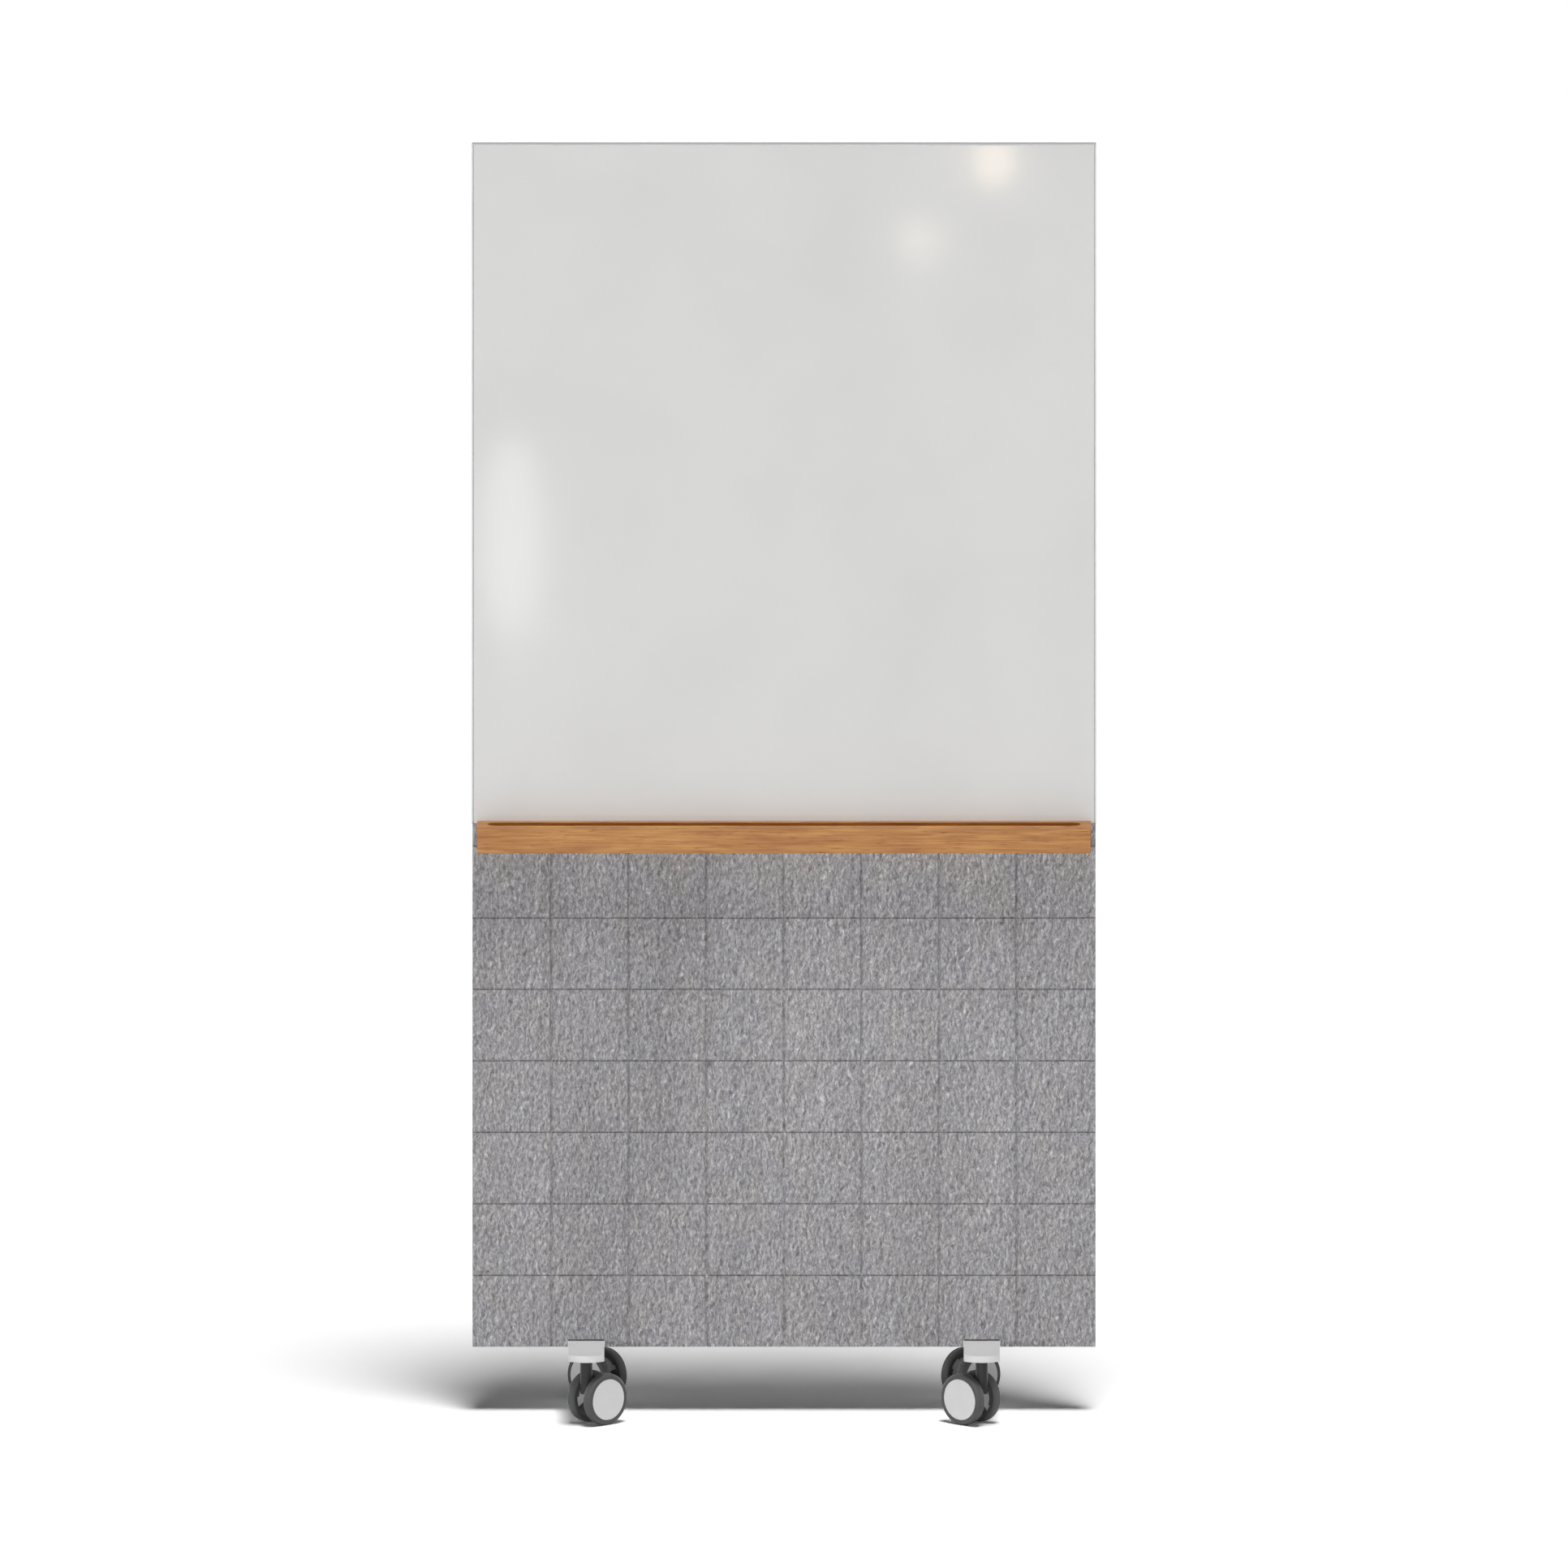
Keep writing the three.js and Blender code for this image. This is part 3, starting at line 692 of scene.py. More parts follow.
def section(points: Sequence[Pair], filled: bool) -> Piece:
    """Adds a flat outline in x and y that a spin can turn or an extrusion thicken.

    Args:
        points: Corners in order, as x and y.
        filled: Whether the outline gets a face.

    Returns:
        The outline's object.
    """
    clear_selection()
    bpy.ops.mesh.primitive_circle_add(vertices=len(points),
                                      fill_type="NGON" if filled else "NOTHING")
    outline = bpy.context.object
    for vertex, point in zip(outline.data.vertices, points):
        vertex.co = (*point, 0)
    return outline


def turned(points: Sequence[Pair], steps: int, start: float = 0.0, sweep: float = 360.0) -> Piece:
    """Turns a closed section about the y axis.

    Args:
        points: Corners of the section, as radius and place along y.
        steps: How many steps the turn has.
        start: Angle from x towards z at which the turn starts, in degrees.
        sweep: Angle of the turn in degrees; a part turn gets flat ends.

    Returns:
        The turned object, closed and facing out.
    """
    whole = sweep >= 360
    obj = section(points, filled=not whole)
    obj.data.transform(Matrix.Rotation(-math.radians(start), 4, "Y"))
    with editing(obj):
        bpy.ops.mesh.spin(steps=steps, angle=math.radians(sweep), center=(0, 0, 0), axis=(0, 1, 0))
        bpy.ops.mesh.select_all(action="SELECT")
        bpy.ops.mesh.remove_doubles(threshold=WELD_REACH)
        bpy.ops.mesh.normals_make_consistent(inside=False)
    return obj


def duplicate(obj: Piece, matrix: Matrix) -> Piece:
    """Copies an object with its own mesh, and moves the copy's mesh.

    Args:
        obj: The object.
        matrix: The move; a mirroring one has its faces turned out again.

    Returns:
        The copy.
    """
    copy = obj.copy()
    copy.data = obj.data.copy()
    bpy.context.scene.collection.objects.link(copy)
    copy.data.transform(matrix)
    if matrix.determinant() < 0:
        copy.data.flip_normals()
    return copy


def discard(*objects: Piece) -> None:
    """Deletes master shapes once they have been copied."""
    for obj in objects:
        bpy.data.objects.remove(obj)


def settle(obj: Piece, name: str, finish: Finish, body: str,
           nodes: Sequence[str] = (), smooth: float = 32) -> None:
    """Names and dresses a finished piece and puts it on its body.

    Args:
        obj: The piece, with its place in its mesh.
        name: The piece's name.
        finish: The finish of its whole surface.
        body: The body it moves with.
        nodes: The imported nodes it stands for.
        smooth: Edges flatter than this many degrees are shaded smooth.
    """
    obj.name = name
    obj.data.name = name
    obj.data.materials.clear()
    obj.data.materials.append(finish.material())
    make_active(obj)
    bpy.ops.object.shade_smooth_by_angle(angle=math.radians(smooth))
    apply_modifier(obj, "WEIGHTED_NORMAL", keep_sharp=True)
    if nodes:
        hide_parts(*nodes)
    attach(obj, body)
    LOG.info("%s: %d faces, on %s", name, len(obj.data.polygons), body)


class Side(Enum):
    """The front or the back of the panel, and the way it faces along y."""

    FRONT = -1
    REAR = 1


@dataclass(frozen=True)
class Grid:
    """The grooves of a felt sheet: where they run, and how far each reaches to its sides."""

    columns: list[float]
    rows: list[float]
    column_reach: float
    row_reach: float

    def away(self, place: Vector) -> float:
        """Distance to the nearest groove as a share of its reach: 0 in its middle, 1 at its rim."""
        return min([abs(place.x - x) / self.column_reach for x in self.columns]
                   + [abs(place.z - z) / self.row_reach for z in self.rows])


@dataclass
class Skins:
    """Writing boards and felt sheets on both sides of the panel."""

    palette: Palette
    strip_lip: float = 1 * MM
    board_edge: float = 0.3 * MM
    felt_edge: float = 1.5 * MM
    column_pitch: float = 111.8 * MM
    row_pitch: float = 105 * MM
    groove_margin: float = 12 * MM
    column_reach: float = 3 * MM
    row_reach: float = 1.9 * MM
    groove_depth: float = 2.2 * MM
    face_share: float = 1.1
    groove_steps: int = 4
    ring_margin: float = 0.25
    notch_width: float = 53 * MM
    notch_top: float = 107.6 * MM
    notch_margin: float = 5 * MM
    sharp_felt: float = 70

    def build(self) -> None:
        """Builds both boards and both felt sheets."""
        for side in Side:
            word = side.name.lower()
            self.board(f"{word}_board", f"{word}_writing_board")
            self.felt(f"{word}_felt", f"{word}_felt_sheet", side)

    def board(self, node: str, name: str) -> None:
        """A writing board with eased edges, between the lips of the side strips.

        Args:
            node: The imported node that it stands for.
            name: The piece's name.
        """
        low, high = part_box(node)
        inset = Vector((self.strip_lip, 0, 0))
        high.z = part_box("edge_trim_top")[0].z
        sheet = block(low + inset, high - inset)
        with editing(sheet):
            bpy.ops.mesh.bevel(offset=self.board_edge, segments=3, affect="EDGES")
        settle(sheet, name, self.palette.board, "panel", [node])

    def grooves(self, pitch: float, start: float, low: float, high: float) -> list[float]:
        """Places of a row of grooves, each way from a start, inside the margins.

        Args:
            pitch: Distance from one groove to the next.
            start: Where one of them would lie.
            low: Lower end of the sheet.
            high: Upper end of the sheet.

        Returns:
            The places, in order.
        """
        first = math.ceil((low + self.groove_margin - start) / pitch)
        last = math.floor((high - self.groove_margin - start) / pitch)
        return [start + step * pitch for step in range(first, last + 1)]

    def felt(self, node: str, name: str, side: Side) -> None:
        """A felt sheet with pressed grooves and a notch over each foot plate.

        Args:
            node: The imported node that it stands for.
            name: The piece's name.
            side: The side that it faces.
        """
        low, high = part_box(node)
        face = high.y if side is Side.REAR else low.y
        grid = Grid(self.grooves(self.column_pitch, 0.0, low.x, high.x),
                    self.grooves(self.row_pitch, low.z, low.z, high.z),
                    self.column_reach, self.row_reach)
        sheet = block(low, high)
        shares = [step / self.groove_steps
                  for step in range(-self.groove_steps, self.groove_steps + 1)]
        lines = ((Vector((1, 0, 0)), grid.columns, grid.column_reach),
                 (Vector((0, 0, 1)), grid.rows, grid.row_reach))
        with editing(sheet):
            for across, places, reach in lines:
                for point in (across * (place + share * reach)
                              for place in places for share in shares):
                    bpy.ops.mesh.select_all(action="SELECT")
                    bpy.ops.mesh.bisect(plane_co=point, plane_no=across)
            self.press(sheet, side, face, grid)
        soften(sheet, self.felt_edge, sharper_than=self.sharp_felt)
        self.notch(sheet, low, high)
        self.mark(sheet, face, grid)
        settle(sheet, name, self.palette.felt, "panel", [node], smooth=self.sharp_felt)

    def near_face(self, place: Vector, face: float) -> bool:
        """Whether a point lies on a sheet's face or in its grooves."""
        return abs(place.y - face) < self.face_share * self.groove_depth

    def press(self, sheet: Piece, side: Side, face: float, grid: Grid) -> None:
        """Presses the groove lines in, ring by ring, so that crossings keep their full depth.

        Args:
            sheet: The felt sheet, in edit mode.
            side: The side that it faces.
            face: The y of its face.
            grid: Its grooves.
        """
        for ring in range(self.groove_steps - 1, -1, -1):
            inner, outer = ring / self.groove_steps, (ring + 1) / self.groove_steps
            rise = self.groove_depth * (math.cos(math.pi * inner) - math.cos(math.pi * outer)) / 2
            limit = inner + self.ring_margin / self.groove_steps
            pick(sheet, Pick.VERTICES, lambda vertex: self.near_face(vertex.co, face)
                 and grid.away(vertex.co) < limit)
            bpy.ops.transform.translate(value=(0, -side.value * rise, 0))

    def mark(self, sheet: Piece, face: float, grid: Grid) -> None:
        """Notes how far each point of the face is pressed in, for the grooves' painted shade.

        Args:
            sheet: The felt sheet.
            face: The y of its face.
            grid: Its grooves.
        """
        shares = sheet.data.attributes.new(PressedFelt.pressed, "FLOAT", "POINT").data
        for vertex, share in zip(sheet.data.vertices, shares):
            if self.near_face(vertex.co, face):
                share.value = (1 + math.cos(math.pi * min(1.0, grid.away(vertex.co)))) / 2

    def notch(self, sheet: Piece, low: Vector, high: Vector) -> None:
        """Cuts the room over each foot plate out of the sheet's lower edge.

        Args:
            sheet: The felt sheet.
            low: Its lowest corner.
            high: Its highest corner.
        """
        over, reach = self.notch_margin, self.notch_width / 2
        for foot in ("left_foot_plate", "right_foot_plate"):
            plate_low, plate_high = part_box(foot)
            middle = (plate_low.x + plate_high.x) / 2
            combine(sheet, block(Vector((middle - reach, low.y - over, low.z - over)),
                                 Vector((middle + reach, high.y + over, self.notch_top))),
                    "DIFFERENCE")


@dataclass
class Ledge:
    """The oak pen ledge with its routed tray."""

    palette: Palette
    edge: float = 1.2 * MM
    rear_rim: float = 9.3 * MM
    front_rim: float = 3.2 * MM
    end_rim: float = 15.3 * MM
    tray_depth: float = 12 * MM
    tray_floor_radius: float = 4 * MM
    tray_end_round: float = 0.999
    rim_radius: float = 0.7 * MM

    def build(self) -> None:
        """Builds the ledge: a rounded stick with a round-ended tray cut in its top."""
        low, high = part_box("pen_ledge")
        stick = block(low, high)
        soften(stick, self.edge, segments=5)
        combine(stick, self.tray_tool(low, high), "DIFFERENCE")
        with editing(stick):
            pick(stick, Pick.EDGES, lambda edge: self.is_rim(edge, low, high))
            bpy.ops.mesh.bevel(offset=self.rim_radius, segments=3, affect="EDGES")
        settle(stick, "oak_pen_ledge", self.palette.oak, "panel", ["pen_ledge"])

    def is_rim(self, edge: Any, low: Vector, high: Vector) -> bool:
        """Whether an edge lies where the tray meets the top of the stick.

        Args:
            edge: An edge of the stick's mesh.
            low: The stick's lowest corner.
            high: Its highest corner.

        Returns:
            True for an edge of the tray's rim.
        """
        ends = [vertex.co for vertex in edge.verts]
        inside = all(low.y + self.front_rim / 2 < end.y < high.y - self.rear_rim / 2
                     for end in ends)
        within = all(abs(end.x) < high.x - self.end_rim / 2 for end in ends)
        return inside and within and all(end.z > high.z - self.rim_radius / 10 for end in ends)

    def tray_tool(self, low: Vector, high: Vector) -> Piece:
        """The round-ended body that the tray is cut with, its lower edges rounded.

        Args:
            low: The stick's lowest corner.
            high: Its highest corner.

        Returns:
            The cutting body.
        """
        floor = high.z - self.tray_depth
        tool = block(Vector((low.x + self.end_rim, low.y + self.front_rim, floor)),
                     Vector((high.x - self.end_rim, high.y - self.rear_rim,
                             high.z + self.tray_depth)))
        radius = (high.y - self.rear_rim - low.y - self.front_rim) / 2
        with editing(tool):
            pick(tool, Pick.EDGES, lambda edge: abs(edge.verts[0].co.z - edge.verts[1].co.z) > MM)
            bpy.ops.mesh.bevel(offset=self.tray_end_round * radius, segments=24, affect="EDGES")
            pick(tool, Pick.EDGES, lambda edge: all(end.co.z < floor + MM for end in edge.verts))
            bpy.ops.mesh.bevel(offset=self.tray_floor_radius, segments=5, affect="EDGES")
        return tool


@dataclass
class EdgeStrips:
    """The thin aluminium strips round the upper half of the panel."""

    palette: Palette
    lip: float = 0.9 * MM
    edge: float = 0.2 * MM
    corner: float = MM

    def build(self) -> None:
        """Builds the strips on the top edge and on both sides."""
        top = block(*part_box("edge_trim_top"))
        with editing(top):
            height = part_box("edge_trim_top")[1].z
            pick(top, Pick.EDGES, lambda edge: (
                all(end.co.z > height - self.edge for end in edge.verts)
                and abs(edge.verts[0].co.x - edge.verts[1].co.x) < self.edge))
            bpy.ops.mesh.bevel(offset=self.corner, segments=4, affect="EDGES")
        self.finish(top, "top", self.palette.top_trim)
        for place, inward in (("left", 1), ("right", -1)):
            strip = block(*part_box(f"edge_trim_{place}"))
            for word in ("front", "rear"):
                combine(strip, self.lap(place, inward, f"{word}_board"), "UNION")
            self.finish(strip, place, self.palette.trim)

    def lap(self, place: str, inward: int, board: str) -> Piece:
        """The lip of a side strip that laps over a board's edge.

        Args:
            place: The strip's side, left or right.
            inward: The way to the middle along x, 1 or -1.
            board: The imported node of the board.

        Returns:
            The lip.
        """
        low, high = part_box(f"edge_trim_{place}")
        board_low, board_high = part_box(board)
        middle, reach = (low.x + high.x) / 2, (high.x - low.x) / 2 + self.lip
        ends = sorted((middle, middle + inward * reach))
        return block(Vector((ends[0], board_low.y, low.z)), Vector((ends[1], board_high.y, high.z)))

    def finish(self, strip: Piece, place: str, metal: Finish) -> None:
        """Rounds a strip's edges and puts it on the panel."""
        soften(strip, self.edge)
        settle(strip, f"{place}_edge_strip", metal, "panel", [f"edge_trim_{place}"])


@dataclass
class Feet:
    """The two powder-coated foot plates, with their sunk socket screws and castor stems."""

    palette: Palette
    tip_radius: float = 36.23 * MM
    plate_edge: float = 1.1 * MM
    sink_radius: float = 4.8 * MM
    sink_depth: float = 3.3 * MM
    head_height: float = 2.7 * MM
    head_edge: float = 0.5 * MM
    socket: float = 2.9 * MM
    socket_depth: float = 1.8 * MM
    shank_share: float = 0.55
    shank_start: float = 2 * MM
    stem_radius: float = 5 * MM
    thread_radius: float = 4 * MM
    thread_length: float = 6.5 * MM
    collar_radius: float = 8.5 * MM
    collar_height: float = 2.4 * MM
    collar_edge: float = 0.4 * MM

    def build(self) -> None:
        """Builds both plates, their four screws and the four castor stems."""
        for side in ("left", "right"):
            self.plate(side)
            for number in (1, 2):
                self.screw(f"{side}_foot_bolt_{number}", f"{side}_socket_screw_{number}")
            for end in ("front", "rear"):
                self.stem(f"{end}_{side}_castor_stem", f"{end}_{side}_stem")

    def plate(self, side: str) -> None:
        """A plate with bowed tips, rounded edges and a sink round each screw.

        Args:
            side: Left or right.
        """
        node = f"{side}_foot_plate"
        low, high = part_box(node)
        middle = (low.x + high.x) / 2
        plate = rod(self.tip_radius, Vector((middle, 0, low.z)), high.z - low.z, sides=120)
        reach = high.y - self.tip_radius
        with editing(plate):
            for hand in (-1, 1):
                pick(plate, Pick.VERTICES, lambda vertex: vertex.co.y * hand > SEAM_REACH)
                bpy.ops.transform.translate(value=(0, hand * reach, 0))
            for place, way in ((low.x, -1), (high.x, 1)):
                bpy.ops.mesh.select_all(action="SELECT")
                bpy.ops.mesh.bisect(plane_co=(place, 0, 0), plane_no=(way, 0, 0), use_fill=True,
                                    clear_outer=True)
        for number in (1, 2):
            screw_low, screw_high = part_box(f"{side}_foot_bolt_{number}")
            place = Vector(((screw_low.x + screw_high.x) / 2, 0, low.z - self.sink_depth))
            combine(plate, rod(self.sink_radius, place, 2 * self.sink_depth, sides=48),
                    "DIFFERENCE")
        soften(plate, self.plate_edge, segments=4, sharper_than=40)
        settle(plate, f"{side}_foot", self.palette.foot, "panel", [node])

    def screw(self, node: str, name: str) -> None:
        """A cap screw whose head has a rounded edge and a hexagon socket.

        Args:
            node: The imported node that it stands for.
            name: The piece's name.
        """
        low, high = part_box(node)
        middle = (low + high) / 2
        radius = (high.x - low.x) / 2
        screw = rod(radius, Vector((middle.x, middle.y, low.z)), self.head_height, sides=48)
        soften(screw, self.head_edge)
        socket = rod(self.socket, Vector((middle.x, middle.y, low.z - self.socket_depth)),
                     2 * self.socket_depth, sides=6)
        combine(screw, socket, "DIFFERENCE")
        shank = rod(self.shank_share * radius,
                    Vector((middle.x, middle.y, low.z + self.shank_start)),
                    high.z - low.z - self.shank_start, sides=24)
        combine(screw, shank, "UNION")
        settle(screw, name, self.palette.bolt, "panel", [node])

    def stem(self, node: str, name: str) -> None:
        """A castor stem: a pin with a collar under the plate and a thread above it.

        Args:
            node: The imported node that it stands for.
            name: The piece's name.
        """
        low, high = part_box(node)
        middle = (low + high) / 2
        top = high.z - self.thread_length
        foot = top - self.collar_height
        cut, pin, collar = self.collar_edge, self.stem_radius, self.collar_radius
        points = [(0, low.z), (pin - cut, low.z), (pin, low.z + cut), (pin, foot),
                  (collar - cut, foot), (collar, foot + cut), (collar, top - cut),
                  (collar - cut, top), (self.thread_radius, top), (self.thread_radius, high.z),
                  (0, high.z)]
        stem = turned(points, steps=48)
        stem.data.transform(Matrix.Rotation(math.pi / 2, 4, "X"))
        stem.data.transform(Matrix.Translation((middle.x, middle.y, 0)))
        settle(stem, name, self.palette.stem, "panel", [node])


@dataclass(frozen=True)
class Corner:
    """Where a castor stands: its name, its stem's place and the way its wheels trail."""

    name: str
    x: float
    y: float
    heading: float

    def matrix(self) -> Matrix:
        """Moves a castor modelled round the stem's axis, trailing along +X, to its corner."""
        return (Matrix.Translation((self.x, self.y, 0))
                @ Matrix.Rotation(math.radians(self.heading), 4, "Z"))


@dataclass
class Castors:
    """Four twin-wheel castors on swivelling stems."""

    palette: Palette
    spread_x: float = 285 * MM
    spread_y: float = 100 * MM
    toe: float = 41
    trail: float = 21 * MM
    wheel_radius: float = 37.5 * MM
    wheel_width: float = 15 * MM
    wheel_start: float = 10 * MM
    shoulder: float = 4.6 * MM
    tyre_bore: float = 31 * MM
    tyre_seat: float = 2.1 * MM
    lip: float = 0.4 * MM
    cover_radius: float = 29.7 * MM
    cover_edge: float = 0.6 * MM
    cover_gap: float = 0.3 * MM
    cover_thickness: float = 2 * MM
    mark_radius: float = 1.7 * MM
    mark_depth: float = 0.25 * MM
    mark_slope: float = 0.3 * MM
    hub_boss: float = 9 * MM
    hub_start: float = -2 * MM
    hub_web: float = 7.2 * MM
    hub_rim: float = 1.8 * MM
    hub_rim_start: float = 3 * MM
    hub_seat: float = 2.3 * MM
    ring_bore: float = 25.6 * MM
    ring_faces: Pair = (0.6 * MM, 2.9 * MM)
    ring_edge: float = 0.35 * MM
    notches: int = 4
    notch_radius: float = 28.7 * MM
    notch_sweep: float = 41
    disc_radius: float = 28 * MM
    disc_face: float = 5 * MM
    column_radius: float = 8.75 * MM
    column_foot: float = 46 * MM
    column_top: float = 93 * MM
    arm_height: float = 27 * MM
    arm_thickness: float = 15.4 * MM
    arm_edge: float = 1.5 * MM
    boss_radius: float = 11 * MM
    stem_bore: float = 5.3 * MM
    stem_room: float = 60 * MM
    axle_radius: float = 4 * MM
    axle_gap: float = 0.2 * MM
    steps: int = 96

    def build(self) -> None:
        """Models each castor piece once, and copies it to the four corners."""
        corners = [
            Corner("front_left", -self.spread_x, -self.spread_y, self.toe),
            Corner("front_right", self.spread_x, -self.spread_y, 180 - self.toe),
            Corner("rear_left", -self.spread_x, self.spread_y, -self.toe),
            Corner("rear_right", self.spread_x, self.spread_y, 180 + self.toe),
        ]
        body, axle = self.body(), self.axle()
        for corner in corners:
            castor, swivel = f"{corner.name}_castor", f"{corner.name}_swivel"
            settle(duplicate(body, corner.matrix()), f"{castor}_fork", self.palette.nylon, swivel,
                   [f"{castor}_body"], smooth=40)
            settle(duplicate(axle, corner.matrix()), f"{castor}_pin", self.palette.bolt, swivel,
                   [f"{castor}_axle"])
        discard(body, axle)
        for side, hand, ring_start, web_start, web_sweep in (
                ("right", 1, 15.0, -145.0, 166.0), ("left", -1, 41.5, -128.0, 122.0)):
            self.wheels(corners, side, hand, self.rim_ring(ring_start, web_start, web_sweep))

    def wheels(self, corners: Sequence[Corner], side: str, hand: int, ring: Piece) -> None:
        """Copies the pieces of one wheel to every corner.

        Args:
            corners: Where the castors stand.
            side: Which wheel of a castor it is.
            hand: 1 for the wheel on local +Y, -1 for its mirror image.
            ring: The rim ring, whose notches differ between the two wheels.
        """
        tyre, hub, cover = self.tyre(), self.hub(), self.cover()
        outward = Matrix.Diagonal((1, hand, 1, 1)) @ Matrix.Translation((0, self.wheel_start, 0))
        turn = self.at_axle() @ outward
        for corner in corners:
            wheel = f"{corner.name}_castor_{side}"
            for shape, name, node, finish, slot in (
                    (tyre, "tread", "tyre", self.palette.tyre, "tyre_rubber"),
                    (hub, "wheel_centre", "hub", self.palette.hub, "hub_plastic"),
                    (cover, "disc", "cover", self.palette.cover, "cover_plastic"),
                    (ring, "rim_ring", None, self.palette.rim, "castor_nylon")):
                settle(duplicate(shape, corner.matrix() @ turn), f"{wheel}_{name}", finish,
                       f"{corner.name}_{side}_wheel", [f"{wheel}_{node}"] if node else [])
        discard(tyre, hub, cover, ring)

    def at_axle(self) -> Matrix:
        """Moves what lies round the origin to the axle of a castor that trails along +X."""
        return Matrix.Translation((self.trail, 0, self.wheel_radius))

    def tyre(self) -> Piece:
        """The tyre, with round shoulders and a bore that the cover sinks into.

        Returns:
            The tyre on an axle through the origin, its outer side towards +Y.
        """
        round_start, lip, width = self.wheel_radius - self.shoulder, self.lip, self.wheel_width
        bore = self.cover_radius + self.cover_gap
        back = width - self.tyre_seat
        points = arc((round_start, self.shoulder), self.shoulder, -90, 0, steps=10)
        points += arc((round_start, width - self.shoulder), self.shoulder, 0, 90, steps=10)
        points += [(bore + lip, width), (bore, width - lip), (bore, back), (self.tyre_bore, back),
                   (self.tyre_bore, lip), (self.tyre_bore + lip, 0)]
        return turned(points, self.steps)

    def hub(self) -> Piece:
        """The wheel's middle: a boss on the axle, a web and a rim.

        Returns:
            The wheel's middle, placed as the tyre is.
        """
        bore, boss = self.axle_radius + self.axle_gap, self.hub_boss
        rim, back = self.tyre_bore - self.hub_rim, self.wheel_width - self.hub_seat
        start, web, lip = self.hub_start, self.hub_web, self.lip
        points = [(bore, start), (boss - lip, start), (boss, start + lip), (boss, web - lip),
                  (boss + lip, web), (rim - lip, web), (rim, web - lip), (rim, self.hub_rim_start),
                  (self.tyre_bore, self.hub_rim_start), (self.tyre_bore, back), (bore, back)]
        return turned(points, self.steps)

    def cover(self) -> Piece:
        """The flat cover in the wheel's outer face, with a moulded mark at its middle.

        Returns:
            The cover, placed as the tyre is.
        """
        back = self.wheel_width - self.cover_thickness
        round_start = (self.cover_radius - self.cover_edge, self.wheel_width - self.cover_edge)
        dimple = self.wheel_width - self.mark_depth
        points = [(0, back), (self.cover_radius, back)]
        points += arc(round_start, self.cover_edge, 0, 90, steps=4)
        points += [(self.mark_radius, self.wheel_width),
                   (self.mark_radius - self.mark_slope, dimple), (0, dimple)]
        return turned(points, self.steps)

    def rim_ring(self, notch_start: float, web_start: float, web_sweep: float) -> Piece:
        """The dark ring on a wheel's inner side, with four notches and a part of a disc.

        Args:
            notch_start: Angle of the first notch's middle, from +X towards +Z, in degrees.
            web_start: Angle at which the part of a disc starts.
            web_sweep: Angle that it covers.

        Returns:
            The ring, placed as the tyre is.
        """
        (low, high), lip = self.ring_faces, self.ring_edge
        ring = turned([(self.ring_bore, low + lip), (self.ring_bore + lip, low),
                       (self.tyre_bore, low), (self.tyre_bore, high), (self.ring_bore, high)],
                      self.steps)
        for number in range(self.notches):
            start = notch_start + 360 / self.notches * number - self.notch_sweep / 2
            tool = turned([(self.ring_bore - MM, low - MM), (self.notch_radius, low - MM),
                           (self.notch_radius, high + MM), (self.ring_bore - MM, high + MM)],
                          steps=16, start=start, sweep=self.notch_sweep)
            combine(ring, tool, "DIFFERENCE")
        back = self.hub_web + self.axle_gap
        web = turned([(self.hub_boss, self.disc_face), (self.disc_radius, self.disc_face),
                      (self.disc_radius, back), (self.hub_boss, back)],
                     steps=48, start=web_start, sweep=web_sweep)
        combine(ring, web, "UNION")
        return ring

    def body(self) -> Piece:
        """The castor's body: a column round the stem, and an arm out to the axle's boss.

        Returns:
            The body of a castor that trails along +X.
        """
        foot, half = self.column_foot, self.arm_thickness / 2
        root = foot + self.arm_height
        body = section([(0, foot), (self.trail, self.wheel_radius - self.boss_radius),
                        (self.trail + self.boss_radius, self.wheel_radius),
                        (self.column_radius, root), (0, root)], filled=True)
        for vertex in body.data.vertices:
            vertex.co = (vertex.co.x, -half, vertex.co.y)
        with editing(body):
            bpy.ops.mesh.extrude_region_move(
                TRANSFORM_OT_translate={"value": (0, self.arm_thickness, 0)})
            bpy.ops.mesh.select_all(action="SELECT")
            bpy.ops.mesh.normals_make_consistent(inside=False)
        boss = lay_along_y(rod(self.boss_radius, Vector((0, 0, -half)), self.arm_thickness))
        boss.data.transform(self.at_axle())
        combine(body, boss, "UNION")
        combine(body, rod(self.column_radius, Vector((0, 0, foot)), self.column_top - foot),
                "UNION")
        bore = rod(self.stem_bore, Vector((0, 0, self.stem_room)),
                   self.column_top - self.stem_room + MM)
        combine(body, bore, "DIFFERENCE")
        soften(body, self.arm_edge, sharper_than=40)
        return body

    def axle(self) -> Piece:
        """The steel pin that both wheels turn on.

        Returns:
            The pin of a castor that trails along +X.
        """
        length = 2 * (self.wheel_start + self.wheel_width - self.hub_seat)
        pin = lay_along_y(rod(self.axle_radius, Vector((0, 0, -length / 2)), length, sides=32))
        pin.data.transform(self.at_axle())
        soften(pin, self.lip, segments=2)
        return pin


